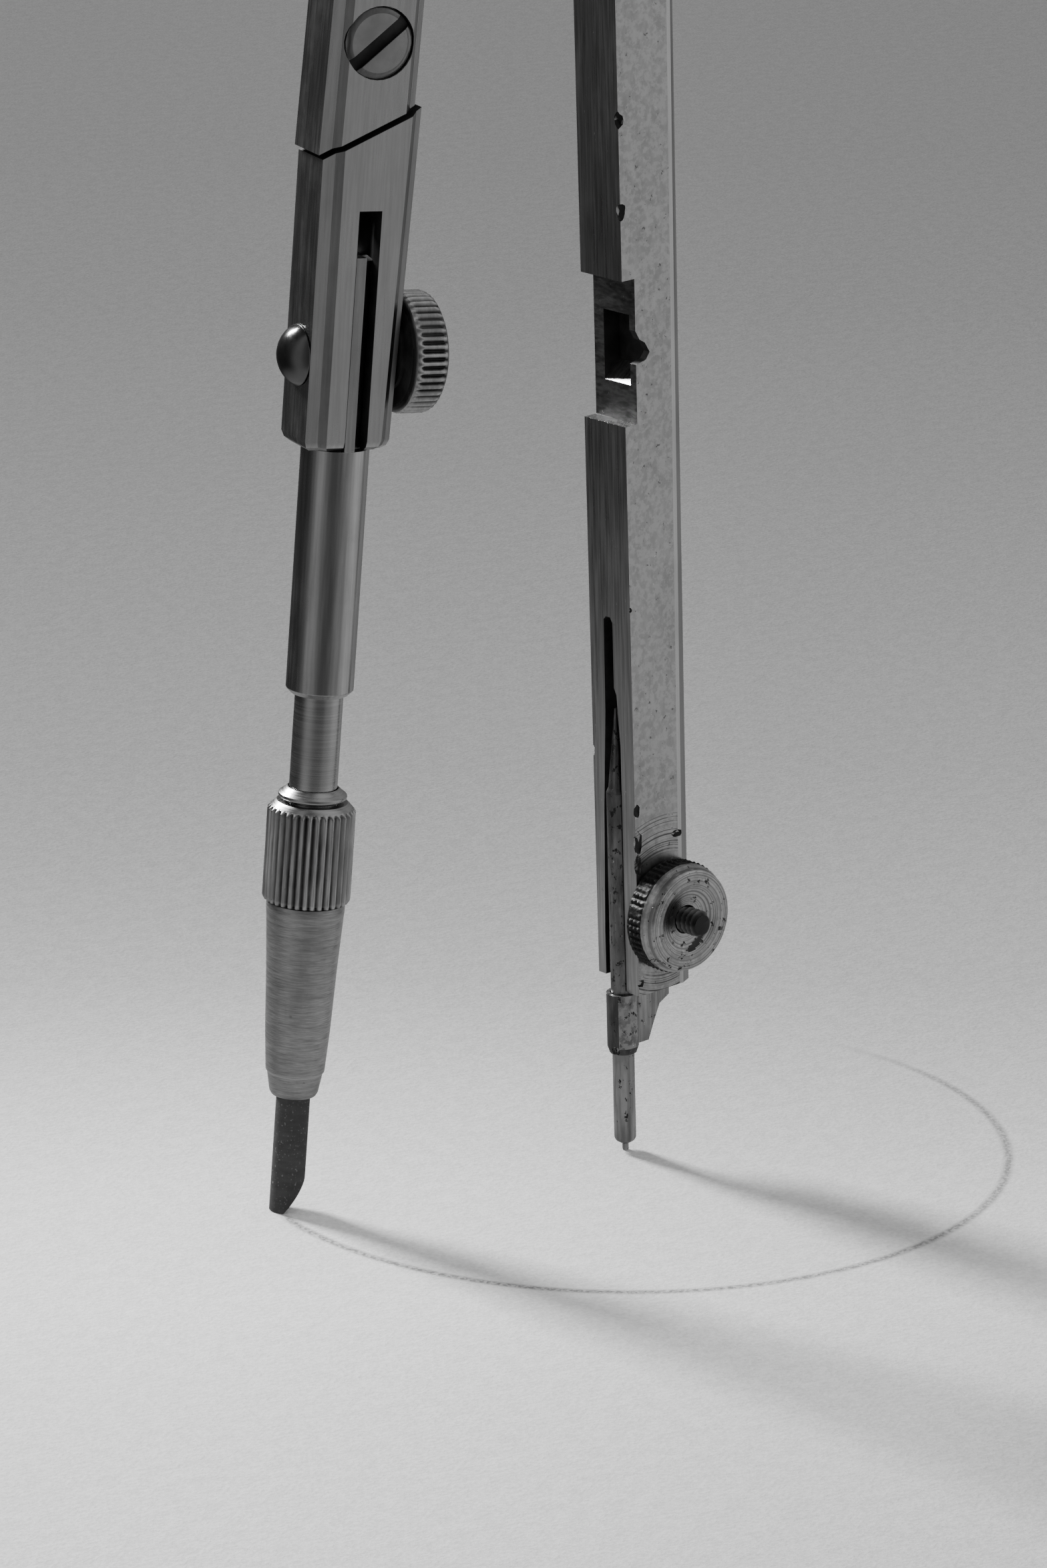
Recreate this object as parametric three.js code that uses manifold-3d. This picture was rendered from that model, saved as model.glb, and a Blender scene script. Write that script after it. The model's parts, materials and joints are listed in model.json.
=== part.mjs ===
// Drawing compass with a geared head, a jointed lead leg and a plain needle leg.
// Millimetres, +Z up. The needle's point stands at the origin on the paper plane z = 0, and the
// lead's point stands on the same plane at about x = -22.5. The fronts of the legs face -Y.
import * as THREE from 'three';
import { mergeVertices } from 'three/addons/utils/BufferGeometryUtils.js';
import Module from 'manifold-3d';

const wasm = await Module();
wasm.setup();

// ---------------------------------------------------------------- driving dimensions
const FIT = 0.05; // radial clearance of a turning or sliding fit
const ROUND = 32; // sides of a round part
const PAST = 5; // how far a cutting tool runs past the metal

// how the compass stands
const LEAD_AXIS_FOOT_X = -21.88; // where the lead's axis meets the paper
const LOWER_LEAN = 4.5; // lean of the lead socket, degrees, top towards the needle leg
const UPPER_LEAN = 6.2; // lean of the upper lead leg
const NEEDLE_LEAN = -1.66; // lean of the needle leg, top towards the lead leg
const NEEDLE_TURN = 15; // the needle leg's turn about its own length

// head: two toothed leg ends that roll on each other between two plates
const PIVOT_SPACING = 7.5;
const GEAR_TEETH = 14;
const GEAR_PRESSURE_ANGLE = 20;
const GEAR_BACKLASH = 0.08;
const GEAR_ADDENDUM = 0.85; // tooth above and below the rolling circle, in modules
const GEAR_DEDENDUM = 1.15;
const GEAR_THICKNESS = 2.1;
const PIVOT_SCREW_R = 1.2;
const WASHER_THICKNESS = 0.15;
const WASHER_R = 2.6;
const PLATE_THICKNESS = 0.9;
const PLATE_LOBE_R = 4.3;
const PLATE_NECK_HALF_WIDTH = 3.4;
const PLATE_TOP = 10.5; // above the pivots
const PLATE_SCREW = { x: 1.9, z: 7.2, shankR: 0.6, headR: 1.1, headHeight: 0.5 };
const YOKE_BOTTOM = 4.9;
const STEM_R = 1.6;
const STEM_TOP = 22;
const GRIP = { bottom: 13, top: 36, r: 3.3, collarR: 2.5, teeth: 36, toothDepth: 0.22 };
const SHOULDER_TOP = -5.6; // leg head's shoulder, below the pivot
const SHOULDER_BOTTOM = -8.0;
const STUD_R = 1.1;
const STUD_LENGTH = 7;
const STUD_PIN = { below: 3.5, r: 0.45 };

// upper lead leg, about its knee pivot
const LEG_HALF_DEPTH = 2.0; // to the raised panel on the front and on the back
const SHELF_HALF_DEPTH = 1.62; // to the shelf beside the panel
const KNEE = { x: 0.21, z: 67.97 }; // knee pivot in the lead socket's frame
const UPPER_OUTER = { knee: -2.9, head: -2.6 };
const UPPER_INNER = { knee: 2.62, head: 2.45 };
const SHELF_WIDTH = 0.76;
const PANEL_BEVEL = 0.38;
const SEAM_R = 4.49; // the knee seam is an arc about the pivot and the arc's tangent
const SEAM_SLOPE = 25.2; // the tangent's slope in the lead socket's frame
const SEAM_GAP = 0.34;
const FORK_HALF_GAP = 0.95;
const FORK_WALL_X = -2.05; // inner side of the wall that closes the fork
const FORK_TOP = 2.3;
const TONGUE_R = 1.9;
const KNEE_SCREW = { headR: 2.0, shankR: 1.1, headDepth: 0.55, slotWidth: 0.75, slotDepth: 0.3 };

// lead socket
const SOCKET = { bottom: 45.1, outer: -2.62, innerAt: 47.5, inner: 2.6, innerTaper: 0.0327 };
const SOCKET_BEVEL = 0.4;
const SOCKET_BORE_R = 1.5;
const SLOT = { centre: 0.31, width: 1.37, top: 58.65 };
const CLAMP = { z: 50.25, screwR: 0.75, domeR: 1.75, domeHeight: 1.1 };
const CLAMP_NUT = { inner: 2.75, bossR: 2.1, boss: 0.2, outer: 5.2, r: 3.45, bevel: 0.42, teeth: 44 };

// lead insert, along the lead's axis
const SHANK = { bottom: 30.75, r: 1.92, tangR: 1.45, tangTop: 56 };
const FORK_SLOT = { half: 0.85, bottom: 49.2 };
const KEY = { x: 0.015, halfWidth: 0.315, front: -1.86 };
const STEM = { r: 1.375, top: 41 };
const COLLAR = { bottom: 24.6, top: 25.3, r: 1.96 };
const SLEEVE = { bottom: 18.6, top: 24.45, r: 2.52, teeth: 34, toothDepth: 0.17 };
const NOSE = [
  [1.24, 6.95], [1.4, 7.15], [1.64, 8.4], [1.86, 10.9], [2.02, 14.5], [2.24, 18.1], [2.24, 18.55],
]; // [radius, height]
const COLLET_BOTTOM = 7.25;
const JAW = { r: 1.2, top: 17 }; // the collet's jaws inside the nose
const COLLET_SLIT = { width: 0.3, top: 16 };
const LEAD = { r: 0.975, top: 32, tip: -0.04 };
const CHISEL = { lowX: -0.55, highX: 0.975, highZ: 2.15 };

// needle leg, in a frame whose axis is the needle's: +x outwards, -y to the leg's front
const BAR = { innerX: -0.22, outerX: 3.9, front: -1.8, back: 1.7 };
const BAR_TAPER = { inner: -0.003, outer: 0.0035 };
const BAR_CHAMFER = { x: 3.14, taper: 0.0076, depth: 0.34, back: 0.35 };
const CHEEK_END = { front: 10.1, back: 10.8 };
// the slit between the two cheeks that grip the needle, as [y, z] across the inner side
const SLIT_OUTLINE = [
  [-0.7, 0], [1.06, 0], [1.06, 13.5], [0.86, 21], [0.55, 27], [0.5, 32.6], [0.3, 32.8], [-0.05, 32.8],
  [-0.25, 32.5], [-0.25, 28.6], [-0.45, 28.2], [-0.7, 25.2],
];
const NOTCH = { bottom: 44.4, top: 52.87, floor: 0.55 };
const POCKET = { bottom: 46.6, rise: 0.8, top: 50.7, depth: 1.75, front: -1.3, back: 0.88 };
// where the pocket's wall is broken through to the front, and the needle holder's wedge, as [x, z]
const BREAKOUT_OUTLINE = [[0.4, 50.1], [0.85, 49.3], [1.25, 49.05], [1.6, 48.45], [1.3, 48.05], [0.4, 47.85]];
const HOLDER_OUTLINE = [
  [0.2, 6.7], [1.44, 6.7], [1.9, 7.8], [2.35, 8.75], [3.1, 9.15], [3.1, 13.2], [0.2, 13.2],
];
const HOLDER = { front: -0.65, back: 1.0 };
const NEEDLE_CLAMP = { x: 1.9, z: 14.8, screwR: 0.8, end: -5.0, headR: 1.75, headHeight: 0.9 };
const NEEDLE_NUT = { front: -4.0, r: 3.33, bevel: 0.45, teeth: 40, dishR: 2.0, dishDepth: 0.4 };
const NEEDLE = { r: 0.65, pinR: 0.19, tipR: 0.15, step: 22.27, topR: 0.55, top: 27.3 };
const HOLDER_BORE_R = NEEDLE.r + FIT;

// ---------------------------------------------------------------- materials
const metal = (color, roughness) =>
  new THREE.MeshStandardMaterial({ color, roughness, metalness: 1 });
const NICKEL = metal(0xa8a8a6, 0.32);
const WORN_NICKEL = metal(0x9a9a97, 0.42);
const STEEL = metal(0x8a8b8c, 0.3);
const DARK_STEEL = metal(0x55575a, 0.4);
const BRONZE = metal(0x8f7a55, 0.4);
const GRAPHITE = new THREE.MeshStandardMaterial({ color: 0x2b2c2e, roughness: 0.6, metalness: 0.2 });

// ---------------------------------------------------------------- solids
const radians = THREE.MathUtils.degToRad;

function toSolid(geometry) {
  const bare = geometry.clone();
  bare.deleteAttribute('normal');
  bare.deleteAttribute('uv');
  const merged = mergeVertices(bare, 1e-5);
  return new wasm.Manifold(
    new wasm.Mesh({
      numProp: 3,
      vertProperties: new Float32Array(merged.attributes.position.array),
      triVerts: new Uint32Array(merged.index.array),
    }),
  );
}

function toGeometry(solid) {
  const mesh = solid.getMesh();
  const geometry = new THREE.BufferGeometry();
  geometry.setAttribute('position', new THREE.BufferAttribute(mesh.vertProperties, 3));
  geometry.setIndex(new THREE.BufferAttribute(mesh.triVerts, 1));
  geometry.computeVertexNormals();
  return geometry;
}

const cut = (solid, ...tools) => tools.reduce((left, tool) => left.subtract(tool), solid);
const join = (...solids) => solids.reduce((whole, piece) => whole.add(piece));

// a body of revolution about Z from [radius, height] points, closed on the axis at both ends
function turned(profile, sides = ROUND) {
  const ends = [[0, profile[0][1]], ...profile, [0, profile[profile.length - 1][1]]];
  const points = ends.map(([r, z]) => new THREE.Vector2(r, z));
  return toSolid(new THREE.LatheGeometry(points, sides).rotateX(Math.PI / 2));
}

const rod = (r, bottom, top, sides = ROUND) => turned([[r, bottom], [r, top]], sides);

// a rod along Y or X, from one end to the other, through (x, z) or (y, z)
function rodY(r, from, to, x, z, sides = ROUND) {
  return rod(r, from, to, sides).rotate([-90, 0, 0]).translate([x, 0, z]);
}
function rodX(r, from, to, y, z, sides = ROUND) {
  return rod(r, from, to, sides).rotate([0, 90, 0]).translate([0, y, z]);
}

function block(low, high) {
  const size = high.map((value, i) => value - low[i]);
  const centre = high.map((value, i) => (value + low[i]) / 2);
  return toSolid(new THREE.BoxGeometry(...size).translate(...centre));
}

// a solid between outlines of [x, y] points at rising heights, each with the same point count
function loft(sections) {
  const count = sections[0].outline.length;
  const positions = sections.flatMap(({ z, outline }) => outline.flatMap(([x, y]) => [x, y, z]));
  const index = [];
  const cap = (outline, base, up) => {
    const points = outline.map(([x, y]) => new THREE.Vector2(x, y));
    for (const [a, b, c] of THREE.ShapeUtils.triangulateShape(points, [])) {
      index.push(base + a, base + (up ? b : c), base + (up ? c : b));
    }
  };
  cap(sections[0].outline, 0, false);
  for (let layer = 0; layer + 1 < sections.length; layer += 1) {
    for (let i = 0; i < count; i += 1) {
      const a = layer * count + i;
      const b = layer * count + ((i + 1) % count);
      index.push(a, b, b + count, a, b + count, a + count);
    }
  }
  cap(sections[sections.length - 1].outline, (sections.length - 1) * count, true);
  const geometry = new THREE.BufferGeometry();
  geometry.setAttribute('position', new THREE.Float32BufferAttribute(positions, 3));
  geometry.setIndex(index);
  return toSolid(geometry);
}

// an outline of [x, z] points made solid between two depths along Y
function plateXZ(outline, yFrom, yTo) {
  const shape = new THREE.Shape(outline.map(([x, z]) => new THREE.Vector2(x, z)));
  const flat = new THREE.ExtrudeGeometry(shape, { depth: yTo - yFrom, bevelEnabled: false });
  return toSolid(flat.rotateX(Math.PI / 2).translate(0, yTo, 0));
}

// an outline of [y, z] points made solid between two places along X
function plateYZ(outline, xFrom, xTo) {
  return plateXZ(outline, -xTo, -xFrom).rotate([0, 0, 90]);
}

// points on a circle about (x, z) from one angle to another, in degrees
function arc(x, z, r, from, to, steps) {
  return Array.from({ length: steps + 1 }, (_, i) => {
    const angle = radians(from + ((to - from) * i) / steps);
    return [x + r * Math.cos(angle), z + r * Math.sin(angle)];
  });
}

// a straight-fluted grip: a zigzag outline trimmed to a turned envelope of [radius, height] points
function fluted(envelope, r, teeth, toothDepth) {
  const bottom = envelope[0][1];
  const top = envelope[envelope.length - 1][1];
  const outline = [];
  for (let i = 0; i < teeth; i += 1) {
    const step = (2 * Math.PI) / teeth;
    for (const [turn, radius] of [[0, r], [0.5, r - toothDepth]]) {
      const angle = (i + turn) * step;
      outline.push([radius * Math.cos(angle), radius * Math.sin(angle)]);
    }
  }
  const flutes = loft([{ z: bottom, outline }, { z: top, outline }]);
  return flutes.intersect(turned(envelope, teeth));
}

// one involute gear outline with a tooth centred on angle 0, or a gap if phase is half a pitch
function gearOutline(phaseInPitches) {
  const pitchR = PIVOT_SPACING / 2;
  const toothModule = PIVOT_SPACING / GEAR_TEETH;
  const baseR = pitchR * Math.cos(radians(GEAR_PRESSURE_ANGLE));
  const tipR = pitchR + GEAR_ADDENDUM * toothModule;
  const rootR = pitchR - GEAR_DEDENDUM * toothModule;
  const unrolled = (r) => Math.sqrt(Math.max((r / baseR) ** 2 - 1, 0));
  const involute = (r) => unrolled(r) - Math.acos(Math.min(baseR / r, 1));
  const halfTooth = Math.PI / (2 * GEAR_TEETH) - GEAR_BACKLASH / (2 * pitchR) + involute(pitchR);
  const flankSteps = 3;
  const flank = Array.from({ length: flankSteps + 1 }, (_, i) => {
    const r = baseR + ((tipR - baseR) * i) / flankSteps;
    return [r, halfTooth - involute(r)];
  });
  const pitch = (2 * Math.PI) / GEAR_TEETH;
  const points = [];
  for (let tooth = 0; tooth < GEAR_TEETH; tooth += 1) {
    const centre = (tooth + phaseInPitches) * pitch;
    const side = [[rootR, flank[0][1]], ...flank];
    for (const [r, half] of side) points.push([r, centre - half]);
    for (const [r, half] of side.toReversed()) points.push([r, centre + half]);
  }
  return points.map(([r, angle]) => [r * Math.cos(angle), r * Math.sin(angle)]);
}

// ---------------------------------------------------------------- assembly helpers
const compass = new THREE.Group();

function leaningGroup(x, z, lean) {
  const group = new THREE.Group();
  group.position.set(x, 0, z);
  group.rotation.y = radians(lean);
  compass.add(group);
  return group;
}

function place(group, name, solid, material) {
  const mesh = new THREE.Mesh(toGeometry(solid), material);
  mesh.name = name;
  group.add(mesh);
}

// ---------------------------------------------------------------- where the joints are
const direction = (lean) => [Math.sin(radians(lean)), Math.cos(radians(lean))];
const [lowerX, lowerZ] = direction(LOWER_LEAN);
const kneeX = LEAD_AXIS_FOOT_X + KNEE.x * lowerZ + KNEE.z * lowerX;
const kneeZ = -KNEE.x * lowerX + KNEE.z * lowerZ;

// the needle leg's bar is centred on this line of its leaning frame
const barMiddleX = 1.82;
const barMiddleY = -0.05;
const turnedMiddle = new THREE.Vector2(barMiddleX, barMiddleY).rotateAround(
  new THREE.Vector2(),
  radians(NEEDLE_TURN),
);

// the two pivots sit on the legs' lines, PIVOT_SPACING apart and square to the handle
const handleLean = (UPPER_LEAN + NEEDLE_LEAN) / 2;
const [leadDx, leadDz] = direction(UPPER_LEAN);
const [needleDx, needleDz] = direction(NEEDLE_LEAN);
const [handleDx, handleDz] = direction(handleLean);
const needleLineX = turnedMiddle.x * needleDz;
const needleLineZ = -turnedMiddle.x * needleDx;
const acrossX = needleLineX - kneeX - PIVOT_SPACING * handleDz;
const acrossZ = needleLineZ - kneeZ + PIVOT_SPACING * handleDx;
const spread = needleDx * leadDz - leadDx * needleDz;
const upperLength = (needleDx * acrossZ - needleDz * acrossX) / spread;
const needleLength = (leadDx * acrossZ - leadDz * acrossX) / spread;
const leadPivot = [kneeX + upperLength * leadDx, kneeZ + upperLength * leadDz];
const headX = leadPivot[0] + (PIVOT_SPACING / 2) * handleDz;
const headZ = leadPivot[1] - (PIVOT_SPACING / 2) * handleDx;

// ---------------------------------------------------------------- head and handle
const gearHalf = GEAR_THICKNESS / 2;
const plateInner = gearHalf + WASHER_THICKNESS + 2 * FIT;
const plateOuter = plateInner + PLATE_THICKNESS;
const halfSpacing = PIVOT_SPACING / 2;

function plateOutline() {
  const right = arc(halfSpacing, 0, PLATE_LOBE_R, -90, 62, 14);
  const left = arc(-halfSpacing, 0, PLATE_LOBE_R, 118, 270, 14);
  const neckTop = arc(0, PLATE_TOP - PLATE_NECK_HALF_WIDTH, PLATE_NECK_HALF_WIDTH, 0, 180, 14);
  return [...right, ...neckTop, ...left];
}

function headPlate(front) {
  const [from, to] = front ? [-plateOuter, -plateInner] : [plateInner, plateOuter];
  const pivots = [-halfSpacing, halfSpacing].map((x) => rodY(PIVOT_SCREW_R + FIT, from - 1, to + 1, x, 0));
  const screws = [-PLATE_SCREW.x, PLATE_SCREW.x].map((x) =>
    rodY(PLATE_SCREW.shankR + FIT, from - 1, to + 1, x, PLATE_SCREW.z, 24),
  );
  return cut(plateXZ(plateOutline(), from, to), ...pivots, ...screws);
}

function handleYoke() {
  const half = plateInner - FIT;
  const corner = 0.8;
  const reach = PLATE_NECK_HALF_WIDTH - 0.3;
  const footCorner = [[-reach, YOKE_BOTTOM + corner], [-reach + corner, YOKE_BOTTOM]];
  const outline = [
    ...footCorner,
    ...footCorner.toReversed().map(([x, z]) => [-x, z]),
    [reach, PLATE_TOP - PLATE_NECK_HALF_WIDTH],
    [STEM_R, PLATE_TOP + 0.6],
    [-STEM_R, PLATE_TOP + 0.6],
    [-reach, PLATE_TOP - PLATE_NECK_HALF_WIDTH],
  ];
  const screws = [-PLATE_SCREW.x, PLATE_SCREW.x].map((x) =>
    rodY(PLATE_SCREW.shankR + FIT, -half - 1, half + 1, x, PLATE_SCREW.z, 24),
  );
  const collarBottom = PLATE_TOP + 0.3;
  const stem = turned([
    [STEM_R, PLATE_TOP - 2],
    [STEM_R, collarBottom],
    [GRIP.collarR, collarBottom + 0.5],
    [GRIP.collarR, GRIP.bottom - FIT],
    [STEM_R, GRIP.bottom - FIT],
    [STEM_R, STEM_TOP],
  ]);
  // the stem's foot is flattened to the block's thickness between the plates
  const foot = block([-5, -half, 0], [5, half, collarBottom]);
  const shaft = join(stem.intersect(foot), cut(stem, block([-5, -5, 0], [5, 5, collarBottom])));
  return join(cut(plateXZ(outline, -half, half), ...screws), shaft);
}

function handleGrip() {
  const { bottom, top, r } = GRIP;
  const envelope = [[r - 0.6, bottom], [r, bottom + 0.9], [r, top - 1.6], [r - 0.5, top - 0.7], [r - 1.3, top]];
  const bandHeight = 1.8;
  const knurlBottom = bottom + bandHeight;
  const knurlTop = top - bandHeight - 0.8;
  const body = turned(envelope);
  const band = block([-r - 1, -r - 1, knurlBottom], [r + 1, r + 1, knurlTop]);
  const knurl = fluted([[r, knurlBottom - 0.1], [r, knurlTop + 0.1]], r, GRIP.teeth, GRIP.toothDepth);
  return cut(join(cut(body, band), knurl), rod(STEM_R + FIT, bottom - 1, STEM_TOP + 0.5));
}

// a slotted cheese-head screw along Y, its head at the front: head, shank, slot
function slottedScrew({ x, z, headR, headFront, headBack, shankR, end, slotWidth, slotDepth, turn = 0 }) {
  const head = rodY(headR, headFront, headBack, x, z);
  const shank = rodY(shankR, headBack - 0.1, end, x, z, 24);
  const slot = block(
    [-headR - 1, headFront - 1, -slotWidth / 2],
    [headR + 1, headFront + slotDepth, slotWidth / 2],
  );
  return cut(join(head, shank), slot.rotate([0, turn, 0]).translate([x, 0, z]));
}

function pivotScrew(x, turn) {
  return slottedScrew({
    x,
    z: 0,
    headR: 2.3,
    headFront: -plateOuter - 0.85,
    headBack: -plateOuter - FIT,
    shankR: PIVOT_SCREW_R,
    end: plateOuter + 0.8,
    slotWidth: 0.6,
    slotDepth: 0.4,
    turn,
  });
}

function pivotNut(x) {
  const [from, to] = [plateOuter + FIT, plateOuter + 0.95];
  const holes = [-1.75, 1.75].map((offset) => rodY(0.35, to - 0.4, to + 1, x + offset, 0, 16));
  return cut(rodY(2.3, from, to, x, 0), rodY(PIVOT_SCREW_R + FIT, from - 1, to + 1, x, 0), ...holes);
}

function washer(x, z, yFrom, yTo, r, boreR) {
  return cut(rodY(r, yFrom, yTo, x, z), rodY(boreR, yFrom - 1, yTo + 1, x, z));
}

const head = leaningGroup(headX, headZ, handleLean);
place(head, 'head_front_plate', headPlate(true), NICKEL);
place(head, 'head_back_plate', headPlate(false), NICKEL);
place(head, 'handle_yoke', handleYoke(), NICKEL);
place(head, 'handle_grip', handleGrip(), NICKEL);
for (const [side, sign, turn] of [['lead', -1, 25], ['needle', 1, -50]]) {
  const x = sign * halfSpacing;
  place(head, `pivot_screw_${side}`, pivotScrew(x, turn), STEEL);
  place(head, `pivot_nut_${side}`, pivotNut(x), STEEL);
  const boreR = PIVOT_SCREW_R + FIT;
  const inner = gearHalf + FIT;
  const outer = inner + WASHER_THICKNESS;
  place(head, `pivot_washer_${side}_front`, washer(x, 0, -outer, -inner, WASHER_R, boreR), BRONZE);
  place(head, `pivot_washer_${side}_back`, washer(x, 0, inner, outer, WASHER_R, boreR), BRONZE);
  const plateScrew = slottedScrew({
    x: sign * PLATE_SCREW.x,
    z: PLATE_SCREW.z,
    headR: PLATE_SCREW.headR,
    headFront: -plateOuter - FIT - PLATE_SCREW.headHeight,
    headBack: -plateOuter - FIT,
    shankR: PLATE_SCREW.shankR,
    end: plateOuter,
    slotWidth: 0.35,
    slotDepth: 0.25,
    turn: turn * 2,
  });
  place(head, `plate_screw_${side}`, plateScrew, STEEL);
}

// ---------------------------------------------------------------- legs' toothed heads
// the stud and its shoulder carry on the leg's own section below the teeth
function legHead(phase, shoulderOutline, studX, studY, turn) {
  const gear = plateXZ(gearOutline(phase), -gearHalf, gearHalf);
  const neck = block([-1.9, -gearHalf, SHOULDER_TOP - 0.5], [1.9, gearHalf, -1.5]);
  const shoulder = loft([
    { z: SHOULDER_BOTTOM, outline: shoulderOutline },
    { z: SHOULDER_TOP, outline: shoulderOutline },
  ]).rotate([0, 0, turn]);
  const stud = rod(STUD_R, SHOULDER_BOTTOM - STUD_LENGTH, SHOULDER_BOTTOM + 0.5).translate([studX, studY, 0]);
  const bore = rodY(PIVOT_SCREW_R + FIT, -3, 3, 0, 0);
  const pinHole = rodY(STUD_PIN.r + FIT, -3, 3, 0, SHOULDER_BOTTOM - STUD_PIN.below, 20)
    .rotate([0, 0, turn])
    .translate([studX, studY, 0]);
  return cut(join(gear, neck, shoulder, stud), bore, pinHole);
}

// section of the lead leg: a raised panel on the front and back, with a shelf along each edge
function steppedOutline(outer, inner) {
  const profile = [
    [outer, -SHELF_HALF_DEPTH],
    [outer + SHELF_WIDTH, -SHELF_HALF_DEPTH],
    [outer + SHELF_WIDTH + PANEL_BEVEL, -LEG_HALF_DEPTH],
    [inner - SHELF_WIDTH + 0.1, -LEG_HALF_DEPTH],
    [inner - SHELF_WIDTH + 0.1 + PANEL_BEVEL, -SHELF_HALF_DEPTH],
    [inner, -SHELF_HALF_DEPTH],
  ];
  return [...profile, ...profile.toReversed().map(([x, y]) => [x, -y])];
}

// ---------------------------------------------------------------- upper lead leg
// the side of the knee seam above or below: an arc about the pivot, then its tangent, in [x, z]
function belowSeam(radius, slope) {
  const foot = slope - 90;
  const round = arc(0, 0, radius, -5, foot, 16);
  const [footX, footZ] = round[round.length - 1];
  const reach = 12;
  const end = [footX - reach * Math.cos(radians(slope)), footZ - reach * Math.sin(radians(slope))];
  return [...round, end, [end[0], -40], [40, -40], [40, round[0][1]]];
}

function upperBar(top) {
  return loft([
    { z: -8, outline: steppedOutline(UPPER_OUTER.knee, UPPER_INNER.knee) },
    { z: 0, outline: steppedOutline(UPPER_OUTER.knee, UPPER_INNER.knee) },
    { z: top, outline: steppedOutline(UPPER_OUTER.head, UPPER_INNER.head) },
  ]);
}

function upperLeg() {
  const top = upperLength + SHOULDER_BOTTOM - FIT;
  const slope = SEAM_SLOPE + UPPER_LEAN - LOWER_LEAN;
  const seam = plateXZ(belowSeam(SEAM_R - SEAM_GAP / 2, slope), -PAST, PAST);
  const fork = block([FORK_WALL_X, -FORK_HALF_GAP, -2 * PAST], [PAST, FORK_HALF_GAP, FORK_TOP]);
  const screwHole = rodY(KNEE_SCREW.shankR + FIT, -PAST, PAST, 0, 0);
  const headHole = rodY(KNEE_SCREW.headR + FIT, -PAST, -LEG_HALF_DEPTH + KNEE_SCREW.headDepth + FIT, 0, 0);
  const studHole = rod(STUD_R + FIT, top - STUD_LENGTH - 0.3, top + 1);
  const pinHole = rodY(STUD_PIN.r + FIT, -PAST, PAST, 0, top + FIT - STUD_PIN.below, 20);
  return cut(upperBar(top), seam, fork, screwHole, headHole, studHole, pinHole);
}

const upperLead = leaningGroup(kneeX, kneeZ, UPPER_LEAN);
const shoulderOutline = steppedOutline(UPPER_OUTER.head, UPPER_INNER.head);
const leadHead = legHead(0, shoulderOutline, 0, 0, 0).translate([0, 0, upperLength]);
place(upperLead, 'lead_leg_head', leadHead, NICKEL);
place(upperLead, 'lead_upper_leg', upperLeg(), NICKEL);
const leadPinZ = upperLength + SHOULDER_BOTTOM - STUD_PIN.below;
const pinHalfLength = LEG_HALF_DEPTH - 0.05;
place(upperLead, 'lead_leg_pin', rodY(STUD_PIN.r, -pinHalfLength, pinHalfLength, 0, leadPinZ, 20), STEEL);
const kneeScrew = slottedScrew({
  x: 0,
  z: 0,
  headR: KNEE_SCREW.headR,
  headFront: -LEG_HALF_DEPTH + 0.02,
  headBack: -LEG_HALF_DEPTH + KNEE_SCREW.headDepth,
  shankR: KNEE_SCREW.shankR,
  end: LEG_HALF_DEPTH - 0.05,
  slotWidth: KNEE_SCREW.slotWidth,
  slotDepth: KNEE_SCREW.slotDepth,
  turn: -42,
});
// the screw's head is ground flush with the leg's panel and with its bevel
place(upperLead, 'knee_screw', kneeScrew.intersect(upperBar(upperLength + SHOULDER_BOTTOM)), STEEL);
const kneeWasherOuter = FORK_HALF_GAP - FIT;
const kneeWasherInner = kneeWasherOuter - WASHER_THICKNESS;
const kneeBoreR = KNEE_SCREW.shankR + FIT;
for (const [side, from, to] of [
  ['front', -kneeWasherOuter, -kneeWasherInner],
  ['back', kneeWasherInner, kneeWasherOuter],
]) {
  place(upperLead, `knee_washer_${side}`, washer(0, 0, from, to, TONGUE_R - 0.1, kneeBoreR), BRONZE);
}

// ---------------------------------------------------------------- lead socket
function socketOutline(z, inset) {
  const inner = SOCKET.inner + (z - SOCKET.innerAt) * SOCKET.innerTaper;
  const middle = (SOCKET.outer + inner) / 2;
  const shrink = 1 - (2 * inset) / (inner - SOCKET.outer);
  const shrinkDepth = 1 - inset / LEG_HALF_DEPTH;
  const squeezed = ([x, y]) => [middle + (x - middle) * shrink, y * shrinkDepth];
  return steppedOutline(SOCKET.outer, inner).map(squeezed);
}

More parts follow.
